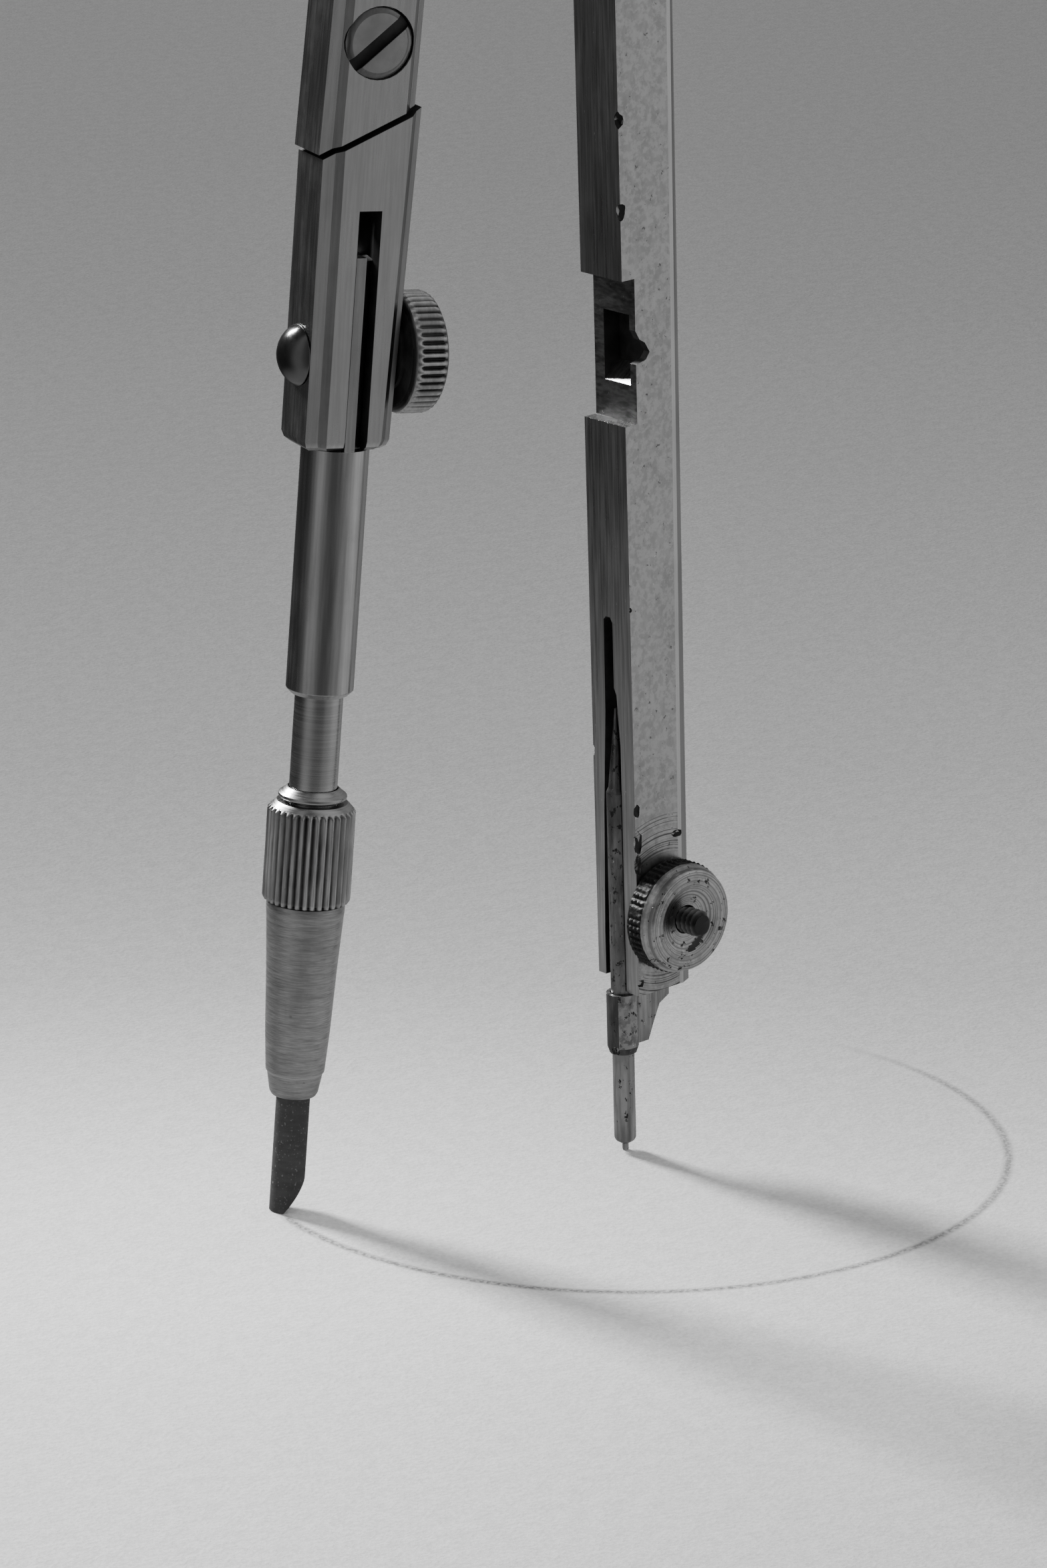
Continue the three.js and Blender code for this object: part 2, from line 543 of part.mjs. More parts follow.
function socketBlock() {
  const { bottom } = SOCKET;
  const bar = loft([
    { z: bottom, outline: socketOutline(bottom, SOCKET_BEVEL) },
    { z: bottom + SOCKET_BEVEL / 2, outline: socketOutline(bottom, SOCKET_BEVEL / 3) },
    { z: bottom + SOCKET_BEVEL * 1.4, outline: socketOutline(bottom, 0) },
    { z: KNEE.z, outline: socketOutline(KNEE.z, 0) },
  ]);
  const seam = belowSeam(SEAM_R + SEAM_GAP / 2, SEAM_SLOPE);
  const shoulder = plateXZ(seam, -PAST, PAST).translate([KNEE.x, 0, KNEE.z]);
  const tongueHalf = kneeWasherInner - FIT;
  const tongueFoot = -7.5;
  const tongueTop = arc(0, 0, TONGUE_R, 0, 180, 20);
  const tongueOutline = [...tongueTop, [-TONGUE_R, tongueFoot], [TONGUE_R + 0.2, tongueFoot]];
  const tongue = plateXZ(tongueOutline, -tongueHalf, tongueHalf).translate([KNEE.x, 0, KNEE.z]);
  const bore = rod(SOCKET_BORE_R, bottom - 1, SLOT.top);
  const slot = block(
    [SLOT.centre - SLOT.width / 2, -PAST, bottom - 1],
    [SLOT.centre + SLOT.width / 2, PAST, SLOT.top],
  );
  const kneeHole = rodY(KNEE_SCREW.shankR + FIT, -PAST, PAST, KNEE.x, KNEE.z);
  const clampHole = rodX(CLAMP.screwR + FIT, -PAST, PAST, 0, CLAMP.z, 24);
  return cut(join(bar.intersect(shoulder), tongue), bore, slot, kneeHole, clampHole);
}

function clampScrew() {
  const { domeR, domeHeight, screwR, z } = CLAMP;
  const sphereR = (domeR ** 2 + domeHeight ** 2) / (2 * domeHeight);
  const steps = 7;
  const cap = Array.from({ length: steps }, (_, i) => {
    const height = (domeHeight * i) / steps;
    return [Math.sqrt(sphereR ** 2 - (sphereR - domeHeight + height) ** 2), height];
  });
  const dome = turned([...cap, [0.25, domeHeight]]).rotate([0, -90, 0]).translate([SOCKET.outer - FIT, 0, z]);
  return join(dome, rodX(screwR, SOCKET.outer - FIT - 0.3, CLAMP_NUT.outer - 0.5, 0, z, 24));
}

function clampNut() {
  const { inner, boss, bossR, outer, r, bevel, teeth } = CLAMP_NUT;
  const back = boss;
  const front = outer - inner;
  const envelope = [[r - bevel, back], [r, back + bevel], [r, front - bevel * 1.1], [r - bevel * 1.1, front]];
  const rim = fluted(envelope, r, teeth, 0.16);
  const dish = turned([[1.0, front - 0.3], [2.2, front + 0.05]]);
  const bore = rod(CLAMP.screwR + FIT, -1, front + 1, 24);
  const nut = cut(join(rim, rod(bossR, 0, back + 0.2)), dish, bore);
  return nut.rotate([0, 90, 0]).translate([inner, 0, CLAMP.z]);
}

const lowerLead = leaningGroup(LEAD_AXIS_FOOT_X, 0, LOWER_LEAN);
place(lowerLead, 'lead_socket_block', socketBlock(), NICKEL);
place(lowerLead, 'clamp_screw', clampScrew(), STEEL);
place(lowerLead, 'clamp_nut', clampNut(), NICKEL);

// ---------------------------------------------------------------- lead insert
function insertShank() {
  const { bottom, r, tangR, tangTop } = SHANK;
  const seat = SOCKET.bottom - FIT;
  const body = turned([[r - 0.3, bottom], [r, bottom + 0.3], [r, seat]]);
  const tang = turned([[tangR, seat - 0.5], [tangR, tangTop - 0.3], [tangR - 0.3, tangTop]]);
  const key = block([KEY.x - KEY.halfWidth, KEY.front, seat - 0.5], [KEY.x + KEY.halfWidth, -0.9, tangTop]);
  const fork = block([-3, -FORK_SLOT.half, FORK_SLOT.bottom], [3, FORK_SLOT.half, tangTop + 1]);
  return cut(join(body, tang, key), fork, rod(STEM.r + FIT, bottom - 1, STEM.top + 0.5));
}

function collet() {
  const outside = turned([
    [JAW.r, COLLET_BOTTOM],
    [JAW.r, JAW.top],
    [STEM.r, JAW.top + 0.4],
    [STEM.r, STEM.top],
  ]);
  const bore = rod(LEAD.r + FIT, 0, STEM.top - 1);
  const slits = [0, 60, 120].map((angle) =>
    block([-3, -COLLET_SLIT.width / 2, 0], [3, COLLET_SLIT.width / 2, COLLET_SLIT.top]).rotate([0, 0, angle]),
  );
  return cut(outside, bore, ...slits);
}

function noseSleeve() {
  const bore = turned([
    [LEAD.r + FIT, 0],
    [LEAD.r + FIT, COLLET_BOTTOM - FIT],
    [JAW.r + FIT, COLLET_BOTTOM - FIT],
    [JAW.r + FIT, JAW.top + FIT],
    [STEM.r + FIT, JAW.top + 0.4],
    [STEM.r + FIT, 30],
  ]);
  return cut(turned(NOSE), bore);
}

function stopCollar() {
  const { bottom, top, r } = COLLAR;
  return cut(turned([[r - 0.2, bottom], [r, bottom + 0.2], [r, top]]), rod(STEM.r + FIT, 20, 30));
}

function clutchSleeve() {
  const { bottom, top, r, teeth, toothDepth } = SLEEVE;
  const knurlBottom = bottom + 0.25;
  const knurlTop = top - 0.5;
  const knurl = fluted([[r - 0.12, knurlBottom], [r, knurlBottom + 0.12], [r, knurlTop]], r, teeth, toothDepth);
  const topBand = turned([[r - 0.02, knurlTop - 0.05], [r - 0.02, knurlTop], [r - 0.5, top]]);
  const bottomBand = turned([[r - 0.3, bottom], [r - 0.18, knurlBottom + 0.05]]);
  return cut(join(knurl, topBand, bottomBand), rod(STEM.r + FIT, 0, 30));
}

function lead() {
  const { r, top, tip } = LEAD;
  const stick = rod(r, tip, top);
  const { lowX, highX, highZ } = CHISEL;
  const wedge = plateXZ([[lowX, tip - 0.02], [lowX, -3], [9, -3], [9, highZ], [highX, highZ]], -3, 3);
  return cut(stick, wedge);
}

place(lowerLead, 'insert_shank', insertShank(), NICKEL);
place(lowerLead, 'collet', collet(), STEEL);
place(lowerLead, 'stop_collar', stopCollar(), NICKEL);
place(lowerLead, 'nose_sleeve', noseSleeve(), WORN_NICKEL);
place(lowerLead, 'clutch_sleeve', clutchSleeve(), WORN_NICKEL);
place(lowerLead, 'lead', lead(), GRAPHITE);

// ---------------------------------------------------------------- needle leg
function barOutline(z) {
  const innerX = BAR.innerX + BAR_TAPER.inner * z;
  const outerX = BAR.outerX + BAR_TAPER.outer * z;
  const chamferX = BAR_CHAMFER.x + BAR_CHAMFER.taper * z;
  return [
    [innerX, BAR.front],
    [chamferX, BAR.front],
    [outerX, BAR.front + BAR_CHAMFER.depth],
    [outerX, BAR.back - BAR_CHAMFER.back],
    [outerX - BAR_CHAMFER.back, BAR.back],
    [innerX, BAR.back],
  ];
}

function needleBar() {
  const top = needleLength + SHOULDER_BOTTOM - FIT;
  const bar = loft([
    { z: CHEEK_END.front, outline: barOutline(CHEEK_END.front) },
    { z: top, outline: barOutline(top) },
  ]);
  const slit = plateYZ(SLIT_OUTLINE, -PAST, 2 * PAST);
  const backTrim = block([-PAST, 0.5, 0], [2 * PAST, PAST, CHEEK_END.back]);
  const notch = block([-PAST, -PAST, NOTCH.bottom], [NOTCH.floor, PAST, NOTCH.top]);
  // the pocket's bottom slopes up from the notch's floor inwards
  const pocketOutline = [
    [0, POCKET.bottom - POCKET.rise * NOTCH.floor],
    [POCKET.depth, POCKET.bottom + POCKET.rise * (POCKET.depth - NOTCH.floor)],
    [POCKET.depth, POCKET.top],
    [0, POCKET.top],
  ];
  const pocket = plateXZ(pocketOutline, POCKET.front, POCKET.back);
  const studBottom = top - STUD_LENGTH - 0.3;
  const studHole = rod(STUD_R + FIT, studBottom, top + 1).translate([barMiddleX, barMiddleY, 0]);
  const pinHole = rodY(STUD_PIN.r + FIT, -PAST, PAST, barMiddleX, top + FIT - STUD_PIN.below, 20);
  const screwHole = rodY(NEEDLE_CLAMP.screwR + FIT, -PAST, PAST, NEEDLE_CLAMP.x, NEEDLE_CLAMP.z, 24);
  return cut(
    bar,
    slit,
    backTrim,
    notch,
    pocket,
    plateXZ(BREAKOUT_OUTLINE, -PAST, POCKET.front + 0.2),
    studHole,
    pinHole,
    screwHole,
  );
}

function needleHolder() {
  const collar = turned([[0.8, 6.2], [0.93, 6.6], [0.93, 9.9]]);
  const tongue = plateXZ(HOLDER_OUTLINE, HOLDER.front, HOLDER.back);
  return cut(join(collar, tongue), rod(HOLDER_BORE_R, 0, 20));
}

function needle() {
  const { r, pinR, tipR, step, topR, top } = NEEDLE;
  const pinTop = 0.47;
  const pin = [[tipR, 0], [pinR, 0.1], [pinR, pinTop]];
  const shank = [[r - 0.08, pinTop + 0.25], [r, pinTop + 0.38], [r, step]];
  return turned([...pin, ...shank, [topR, step + 0.05], [0.08, top]], 28);
}

function needleClampScrew() {
  const { x, z, screwR, end, headR, headHeight } = NEEDLE_CLAMP;
  const button = turned([
    [headR, 0],
    [headR, headHeight * 0.4],
    [headR - 0.3, headHeight * 0.75],
    [headR / 2, headHeight],
  ]);
  const slot = block([-3, -0.25, headHeight - 0.35], [3, 0.25, headHeight + 1]);
  const headY = cut(button, slot).rotate([-90, 0, 0]).translate([x, BAR.back + FIT, z]);
  return join(headY, rodY(screwR, end, BAR.back + 0.3, x, z, 24));
}

function needleClampNut() {
  const { front, r, bevel, teeth, dishR, dishDepth } = NEEDLE_NUT;
  const thickness = BAR.front - FIT - front;
  const envelope = [[r - 0.25, 0], [r, 0.25], [r, thickness - bevel], [r - bevel, thickness]];
  const rim = fluted(envelope, r, teeth, 0.14);
  const dish = turned([[0.9, thickness - dishDepth], [dishR, thickness + 0.03]]);
  const nut = cut(rim, dish, rod(NEEDLE_CLAMP.screwR + FIT, -1, thickness + 1, 24));
  return nut.rotate([90, 0, 0]).translate([NEEDLE_CLAMP.x, BAR.front - FIT, NEEDLE_CLAMP.z]);
}

const needleLean = leaningGroup(0, 0, NEEDLE_LEAN);
const needleTurned = new THREE.Group();
needleTurned.rotation.z = radians(NEEDLE_TURN);
needleLean.add(needleTurned);

// the shoulder repeats the bar's section; the bar's middle is a little behind or in front of the teeth's middle
const barTopZ = needleLength + SHOULDER_BOTTOM;
const middleShift = new THREE.Vector2(0, turnedMiddle.y).rotateAround(
  new THREE.Vector2(),
  -radians(NEEDLE_TURN),
);
const needleShoulder = barOutline(barTopZ).map(([x, y]) => [
  x - barMiddleX + middleShift.x,
  y - barMiddleY + middleShift.y,
]);
const needleHead = legHead(0.5 + GEAR_TEETH / 2, needleShoulder, 0, turnedMiddle.y, NEEDLE_TURN);
place(needleLean, 'needle_leg_head', needleHead.translate([turnedMiddle.x, 0, needleLength]), NICKEL);
place(needleTurned, 'needle_leg_bar', needleBar(), WORN_NICKEL);
const needlePin = rodY(STUD_PIN.r, BAR.front + 0.05, BAR.back - 0.05, barMiddleX, barTopZ - STUD_PIN.below, 20);
place(needleTurned, 'needle_leg_pin', needlePin, STEEL);
place(needleTurned, 'needle_holder', needleHolder(), WORN_NICKEL);
place(needleTurned, 'needle_clamp_screw', needleClampScrew(), DARK_STEEL);
place(needleTurned, 'needle_clamp_nut', needleClampNut(), WORN_NICKEL);
place(needleTurned, 'needle', needle(), STEEL);

export default compass;
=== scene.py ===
"""Drawing compass: detailed metal pieces, worn finishes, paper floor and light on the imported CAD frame."""
import json
import math

import bmesh
import bpy
from mathutils import Matrix, Vector, noise


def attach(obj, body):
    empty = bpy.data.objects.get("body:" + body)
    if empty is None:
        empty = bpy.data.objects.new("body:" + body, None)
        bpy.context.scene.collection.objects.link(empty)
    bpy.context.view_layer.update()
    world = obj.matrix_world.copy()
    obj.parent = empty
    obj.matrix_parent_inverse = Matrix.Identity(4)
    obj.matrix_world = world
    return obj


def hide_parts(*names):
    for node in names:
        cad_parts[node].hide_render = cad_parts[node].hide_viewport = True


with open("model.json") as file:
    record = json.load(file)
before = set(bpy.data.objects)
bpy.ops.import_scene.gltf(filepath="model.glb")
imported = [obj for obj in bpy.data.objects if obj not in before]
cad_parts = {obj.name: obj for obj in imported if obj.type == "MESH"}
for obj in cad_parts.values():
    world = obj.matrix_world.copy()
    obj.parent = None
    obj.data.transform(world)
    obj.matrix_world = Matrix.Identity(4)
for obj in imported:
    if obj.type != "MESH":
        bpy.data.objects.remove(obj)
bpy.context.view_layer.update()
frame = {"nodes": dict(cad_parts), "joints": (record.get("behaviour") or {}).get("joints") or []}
MM = 0.001


# ---------------------------------------------------------------- where the parts' own axes are
def leaning(x, z, lean, turn=0.0):
    """A part's own frame: its foot at (x, 0, z), its lean about Y and its turn about its length.
    The foot is rounded to 0.0001 mm."""
    foot = Matrix.Translation((round(x, 4) * MM, 0, round(z, 4) * MM))
    return foot @ Matrix.Rotation(math.radians(lean), 4, "Y") @ Matrix.Rotation(math.radians(turn), 4, "Z")


def at(place, x, z, axis):
    """The frame of a screw or nut: its own Z along the given axis, through (x, 0, z) of a leg's frame."""
    turns = {"x": Matrix.Rotation(math.pi / 2, 4, "Y"), "-y": Matrix.Rotation(math.pi / 2, 4, "X")}
    return place @ Matrix.Translation((x * MM, 0, z * MM)) @ turns[axis]


def joint_place(name):
    """Where a joint is in the frame, in millimetres."""
    joint = next(j for j in frame["joints"] if j["name"] == name)
    return Vector(joint["pos_m"]) / MM


LOWER_LEAN, UPPER_LEAN, NEEDLE_LEAN = 4.5, 6.2, -1.66
HEAD_LEAN = (UPPER_LEAN + NEEDLE_LEAN) / 2
KNEE = joint_place("knee")
MIDWAY = (joint_place("lead_leg_pivot") + joint_place("needle_leg_pivot")) / 2
LOWER = leaning(-21.88, 0, LOWER_LEAN)  # the lead leg below its knee, from the lead's tip
UPPER = leaning(KNEE.x, KNEE.z, UPPER_LEAN)  # the lead leg from its knee up
NEEDLE = leaning(0, 0, NEEDLE_LEAN, 15)  # the needle leg, from the needle's tip
HEAD = leaning(MIDWAY.x, MIDWAY.z, HEAD_LEAN)  # the head, from midway between the legs' pivots
SOCKET_CLAMP = at(LOWER, 2.75, 50.25, "x")
CLAMP_X, CLAMP_Z = 1.9, 14.8  # where the needle leg's clamp screw crosses the leg
NEEDLE_CLAMP = at(NEEDLE, CLAMP_X, CLAMP_Z, "-y")


# ---------------------------------------------------------------- materials
class Nodes:
    """A short way to wire a procedural material."""

    def __init__(self, name):
        self.material = bpy.data.materials.new(name)
        self.material.use_nodes = True
        self.tree = self.material.node_tree
        self.tree.nodes.clear()
        self.shader = self.add("ShaderNodeBsdfPrincipled")
        self.output = self.add("ShaderNodeOutputMaterial")
        self.join(self.shader, 0, self.output, 0)
        self.coordinates = self.add("ShaderNodeTexCoord")

    def add(self, kind, **values):
        node = self.tree.nodes.new(kind)
        for name, value in values.items():
            setattr(node, name, value)
        return node

    def join(self, source, output, target, inlet):
        self.tree.links.new(source.outputs[output], target.inputs[inlet])

    def scaled(self, scale, offset=(0, 0, 0)):
        mapping = self.add("ShaderNodeMapping")
        mapping.inputs["Scale"].default_value = scale
        mapping.inputs["Location"].default_value = offset
        self.join(self.coordinates, "Object", mapping, "Vector")
        return mapping

    def noise(self, scale, detail=3.0, roughness=0.55, offset=(0, 0, 0)):
        """Noise whose features are 1/scale metres across, with a scale for each axis."""
        node = self.add("ShaderNodeTexNoise")
        node.inputs["Scale"].default_value = 1.0
        node.inputs["Detail"].default_value = detail
        node.inputs["Roughness"].default_value = roughness
        self.join(self.scaled(scale, offset), "Vector", node, "Vector")
        return node

    def ramp(self, source, low, high, output=0):
        """0 below low, 1 above high."""
        node = self.add("ShaderNodeMapRange", interpolation_type="SMOOTHSTEP")
        node.inputs["From Min"].default_value = low
        node.inputs["From Max"].default_value = high
        self.join(source, output, node, "Value")
        return node

    def math(self, operation, a, b):
        node = self.add("ShaderNodeMath", operation=operation)
        for i, value in enumerate((a, b)):
            if isinstance(value, (int, float)):
                node.inputs[i].default_value = value
            else:
                self.join(value, 0, node, i)
        return node

    def reach(self, direction):
        """How far a point lies along a direction, at the output Value."""
        node = self.add("ShaderNodeVectorMath", operation="DOT_PRODUCT")
        self.join(self.coordinates, "Object", node, 0)
        node.inputs[1].default_value = direction
        return node

    def radius(self, across=(1, 1, 0), centre=(0, 0, 0)):
        """Distance from a line through a centre in millimetres. Across is 0 for the line's own axis."""
        flat = self.add("ShaderNodeVectorMath", operation="MULTIPLY_ADD")
        self.join(self.coordinates, "Object", flat, 0)
        flat.inputs[1].default_value = across
        flat.inputs[2].default_value = [-c * MM for c in centre]
        length = self.add("ShaderNodeVectorMath", operation="LENGTH")
        self.join(flat, 0, length, 0)
        value = self.add("ShaderNodeMath", operation="ADD")
        self.join(length, "Value", value, 0)
        value.inputs[1].default_value = 0
        return value

    def circles(self, radius):
        """Fine uneven circles, as a change of brightness with the radius."""
        node = self.add("ShaderNodeTexNoise", noise_dimensions="1D")
        node.inputs["Scale"].default_value = 1.0
        node.inputs["Detail"].default_value = 4.0
        self.join(self.math("MULTIPLY", radius, 9000.0), 0, node, "W")
        return node

    def mix(self, kind, a, b):
        """A colour from two, each a grey level, a colour or a node."""
        node = self.add("ShaderNodeMix", data_type="RGBA", blend_type=kind)
        node.inputs[0].default_value = 1
        for inlet, value in ((6, a), (7, b)):
            if isinstance(value, (int, float)):
                node.inputs[inlet].default_value = (value, value, value, 1)
            elif isinstance(value, tuple):
                node.inputs[inlet].default_value = (*value, 1)
            else:
                self.join(value, 2 if value.bl_idname == "ShaderNodeMix" else 0, node, inlet)
        return node

    def blend(self, factor, a, b):
        """The colour a where the factor is 0, b where it is 1."""
        node = self.mix("MIX", a, b)
        self.join(factor, 0, node, 0)
        return node

    def bump(self, heights):
        """Bumps from (node, height in millimetres) pairs, one over the other."""
        last = None
        for height, millimetres in heights:
            node = self.add("ShaderNodeBump")
            node.inputs["Strength"].default_value = 1.0
            node.inputs["Distance"].default_value = millimetres * MM
            self.join(height, 0, node, "Height")
            if last:
                self.join(last, 0, node, "Normal")
            last = node
        self.join(last, 0, self.shader, "Normal")


ALONG = (7000, 7000, 260)  # brushing along a leg
ROUND = (260, 260, 9000)  # turning marks round a part's own Z


def metal(
    name, tone, rough, grain, height=0.004, contrast=0.3, stain=0.35, pits=0.0, mottle=0.0, flecks=0.0,
    valley=None, rings=0.0, scars=None,
):
    """Nickel or steel. Brushing or turning marks run along the grain, over dull stains and a fine mottle.
    Pits are dark specks and flecks are light ones. Below a valley's radii (low, high) dirt fills the metal.
    Rings are turning marks on a face that is square to the part's own Z.
    Scars are scratches round an axis along Y at (x, z), between the radii low and high."""
    n = Nodes(name)
    streak = n.noise(grain, 4)
    broad = n.noise(tuple(s * 0.22 for s in grain), 3, offset=(3, 1, 2))
    marks = n.math("MULTIPLY", n.ramp(streak, 0.3, 0.7), 0.7)
    marks = n.math("ADD", marks, n.math("MULTIPLY", n.ramp(broad, 0.3, 0.7), 0.3))
    patch = n.noise((330, 330, 210), 5, 0.62, offset=(5, 2, 9))
    dull = n.ramp(patch, 0.42, 0.72)
    grit = n.noise((4200, 4200, 4200), 3, 0.6)
    colour = n.blend(marks, tone * (1 - contrast), tone * (1 + 0.5 * contrast))
    colour = n.blend(n.math("MULTIPLY", dull, stain), colour, tone * 0.5)
    bumps = [(streak, height), (grit, 0.0012 + 0.004 * mottle), (patch, 0.004)]
    if mottle:
        blotch = n.noise((2600, 2600, 2600), 3, 0.7, offset=(2, 8, 6))
        colour = n.blend(n.math("MULTIPLY", n.ramp(blotch, 0.42, 0.6), mottle), colour, tone * 1.3)
    if rings:
        turned = n.circles(n.radius())
        cut = n.ramp(turned, 0.42, 0.62)
        colour = n.blend(n.math("MULTIPLY", cut, rings), colour, tone * 0.45)
        bumps.append((turned, 0.02 * rings))
    if scars:
        x, z, low, high = scars
        radius = n.radius((1, 0, 1), (x, 0, z))
        near = n.math("SUBTRACT", 1.0, n.ramp(radius, (high - 0.9) * MM, high * MM))
        near = n.math("MULTIPLY", n.ramp(radius, low * MM, (low + 0.2) * MM), near)
        scratched = n.math("MULTIPLY", n.ramp(n.circles(radius), 0.5, 0.64), n.ramp(patch, 0.36, 0.5))
        colour = n.blend(n.math("MULTIPLY", scratched, near), colour, tone * 0.3)
    if pits:
        field = n.noise((2300, 2300, 1900), 4, 0.7, offset=(1, 7, 4))
        pitted = n.math("MULTIPLY", n.ramp(field, 0.68 - 0.1 * pits, 0.72 - 0.1 * pits), min(1.0, pits * 2))
        colour = n.blend(pitted, colour, 0.05)
        bumps.append((pitted, -0.01))
    if flecks:
        field = n.noise((3800, 3800, 1500), 4, 0.75, offset=(6, 3, 8))
        colour = n.blend(n.ramp(field, 0.72 - 0.06 * flecks, 0.75 - 0.06 * flecks), colour, 0.95)
    if valley:
        worn = n.math("MULTIPLY", n.math("SUBTRACT", patch, 0.5), 0.0002)
        clean = n.ramp(n.math("ADD", n.radius(), worn), valley[0] * MM, valley[1] * MM)
        colour = n.blend(n.math("SUBTRACT", 1.0, clean), colour, 0.05)
    n.join(colour, 2, n.shader, "Base Color")
    n.shader.inputs["Metallic"].default_value = 1.0
    roughness = n.math("ADD", n.math("MULTIPLY", marks, 0.08), rough - 0.04)
    roughness = n.math("ADD", roughness, n.math("MULTIPLY", dull, 0.1))
    n.join(roughness, 0, n.shader, "Roughness")
    n.bump(bumps)
    return n.material


def graphite(name):
    n = Nodes(name)
    grain = n.noise((5200, 5200, 3600), 5, 0.7)
    smear = n.noise((500, 500, 1700), 3)
    colour = n.blend(n.ramp(smear, 0.35, 0.7), 0.035, 0.05)
    speck = n.noise((6500, 6500, 6500), 2, 0.7, offset=(4, 4, 1))
    colour = n.blend(n.ramp(speck, 0.62, 0.72), colour, 0.16)
    n.join(colour, 2, n.shader, "Base Color")
    n.shader.inputs["Metallic"].default_value = 0.25
    n.join(n.math("ADD", n.math("MULTIPLY", grain, 0.2), 0.5), 0, n.shader, "Roughness")
    n.bump([(grain, 0.018), (smear, 0.01)])
    return n.material


def bronze(name):
    n = Nodes(name)
    tarnish = n.noise((900, 900, 900), 4)
    marks = n.noise(ROUND, 3)
    colour = n.blend(n.ramp(tarnish, 0.35, 0.7), (0.42, 0.31, 0.16), (0.2, 0.14, 0.08))
    n.join(colour, 2, n.shader, "Base Color")
    n.shader.inputs["Metallic"].default_value = 1.0
    n.join(n.math("ADD", n.math("MULTIPLY", tarnish, 0.3), 0.25), 0, n.shader, "Roughness")
    n.bump([(marks, 0.004)])
    return n.material


NICKEL = metal("satin_nickel", 0.64, 0.27, ALONG, 0.0015, 0.14, stain=0.16)
# Painted shade: a darker copy of the nickel for the legs' side faces.
SHADED_SIDE_NICKEL = metal("shaded_side_nickel", 0.46, 0.25, ALONG, 0.0015, 0.16, stain=0.2)
SHELF_NICKEL = metal("shelf_nickel", 0.5, 0.28, ALONG, 0.002, 0.16, stain=0.25)
# Painted shade: a darker copy of the nickel for the slopes up to the legs' panels and for the knee screw's
# chamfer.
SHADED_BEVEL_NICKEL = metal("shaded_bevel_nickel", 0.28, 0.28, ALONG, 0.002, 0.2, stain=0.3)
NICKEL_TURNED = metal("turned_nickel", 0.6, 0.3, ROUND, 0.003, 0.2, stain=0.25)
SHANK_NICKEL = metal("drawn_nickel", 0.52, 0.2, (4200, 4200, 160), 0.0015, 0.24, stain=0.3)
ROD_STEEL = metal("turned_rod", 0.52, 0.24, (260, 260, 14000), 0.002, 0.2, stain=0.2)
BRUSHED_NOSE = metal("brushed_nose", 0.53, 0.36, (1300, 1300, 26000), 0.006, 0.45, stain=0.45, pits=0.15)
SLEEVE_NICKEL = metal(
    "sleeve_nickel", 0.64, 0.34, (5000, 5000, 500), 0.006, 0.4, 0.4, 0.2, valley=(2.28, 2.46)
)
NUT_NICKEL = metal("nut_nickel", 0.58, 0.26, (900, 900, 3000), 0.004, 0.3, 0.3, 0.1, valley=(3.2, 3.42))
WORN_BAR = metal(
    "worn_bar", 0.46, 0.3, (2200, 2200, 900), 0.002, 0.2, 0.14, 0.36, mottle=0.6, flecks=0.3,
    scars=(CLAMP_X, CLAMP_Z, 3.5, 6.4),
)
# A lighter nickel for the front face's rubbed strip, also used as a painted highlight on the notch's upward
# shoulder.
RUBBED_STRIP_AND_HIGHLIGHT = metal("rubbed_strip_and_highlight", 0.62, 0.26, ALONG, 0.002, 0.12, 0.12)
BAR_EDGE = metal("bar_edge", 0.36, 0.3, ALONG, 0.002, 0.16, 0.3)
BAR_SIDE = metal("bar_side", 0.52, 0.3, (2600, 7000, 220), 0.003, 0.35, 0.3, 0.1, flecks=0.6)
WORN_NUT = metal("worn_nut", 0.56, 0.3, (900, 900, 3000), 0.004, 0.3, 0.5, 0.75, mottle=0.5, rings=0.9)
NUT_RIM = metal(
    "nut_rim", 0.17, 0.5, (2600, 2600, 2600), 0.08, 0.7, 0.8, 1.0, flecks=0.9, valley=(3.25, 3.4)
)
RAW_STEEL = metal("raw_steel", 0.36, 0.34, (1500, 1500, 900), 0.02, 0.6, 0.9, 0.9, mottle=0.9, flecks=0.6)
# Painted shade: a darker steel for the needle holder's mouth and for the side of its collar that faces the
# lead leg.
SHADED_HOLDER_STEEL = metal("shaded_holder_steel", 0.16, 0.34, (2600, 2600, 500), 0.012, 0.6, 0.6, 0.6, flecks=0.5)
NEEDLE_STEEL = metal("needle_steel", 0.44, 0.3, (3000, 3000, 260), 0.012, 0.65, 0.8, 0.7, flecks=0.5)
# Dirt and painted shade: a darker steel for the insert's shank where it goes into the socket and for the
# needle above 7.5 mm.
SOILED_AND_SHADED_STEEL = metal("soiled_and_shaded_steel", 0.3, 0.3, (2600, 2600, 500), 0.012, 0.7, 0.8, 1.0, flecks=0.5)
DARK_THREAD = metal("dark_thread", 0.16, 0.26, ROUND, 0.004, 0.3, 0.5, 0.3, valley=(0.62, 0.79))
SCREW_STEEL = metal("screw_steel", 0.5, 0.28, (900, 900, 900), 0.003, 0.2, 0.35, 0.1)
DOME_STEEL = metal("dome_steel", 0.2, 0.16, (900, 900, 900), 0.001, 0.2, 0.3)
# Painted shade: near-black for the insides of slots, bores, seams, chips and the pocket, and for the clamp
# nut's back against the leg. It also colours the real dark gouge on the needle nut.
PAINTED_SHADE_AND_DIRT = metal("painted_shade_and_dirt", 0.11, 0.6, (900, 900, 900), 0.01, 0.5, 0.5)
NOTCH_FLOOR = metal("notch_floor", 0.34, 0.34, (700, 1600, 5200), 0.02, 0.6, 0.6, 0.3, flecks=0.5)
GRAPHITE = graphite("graphite")
BRONZE = bronze("bronze")


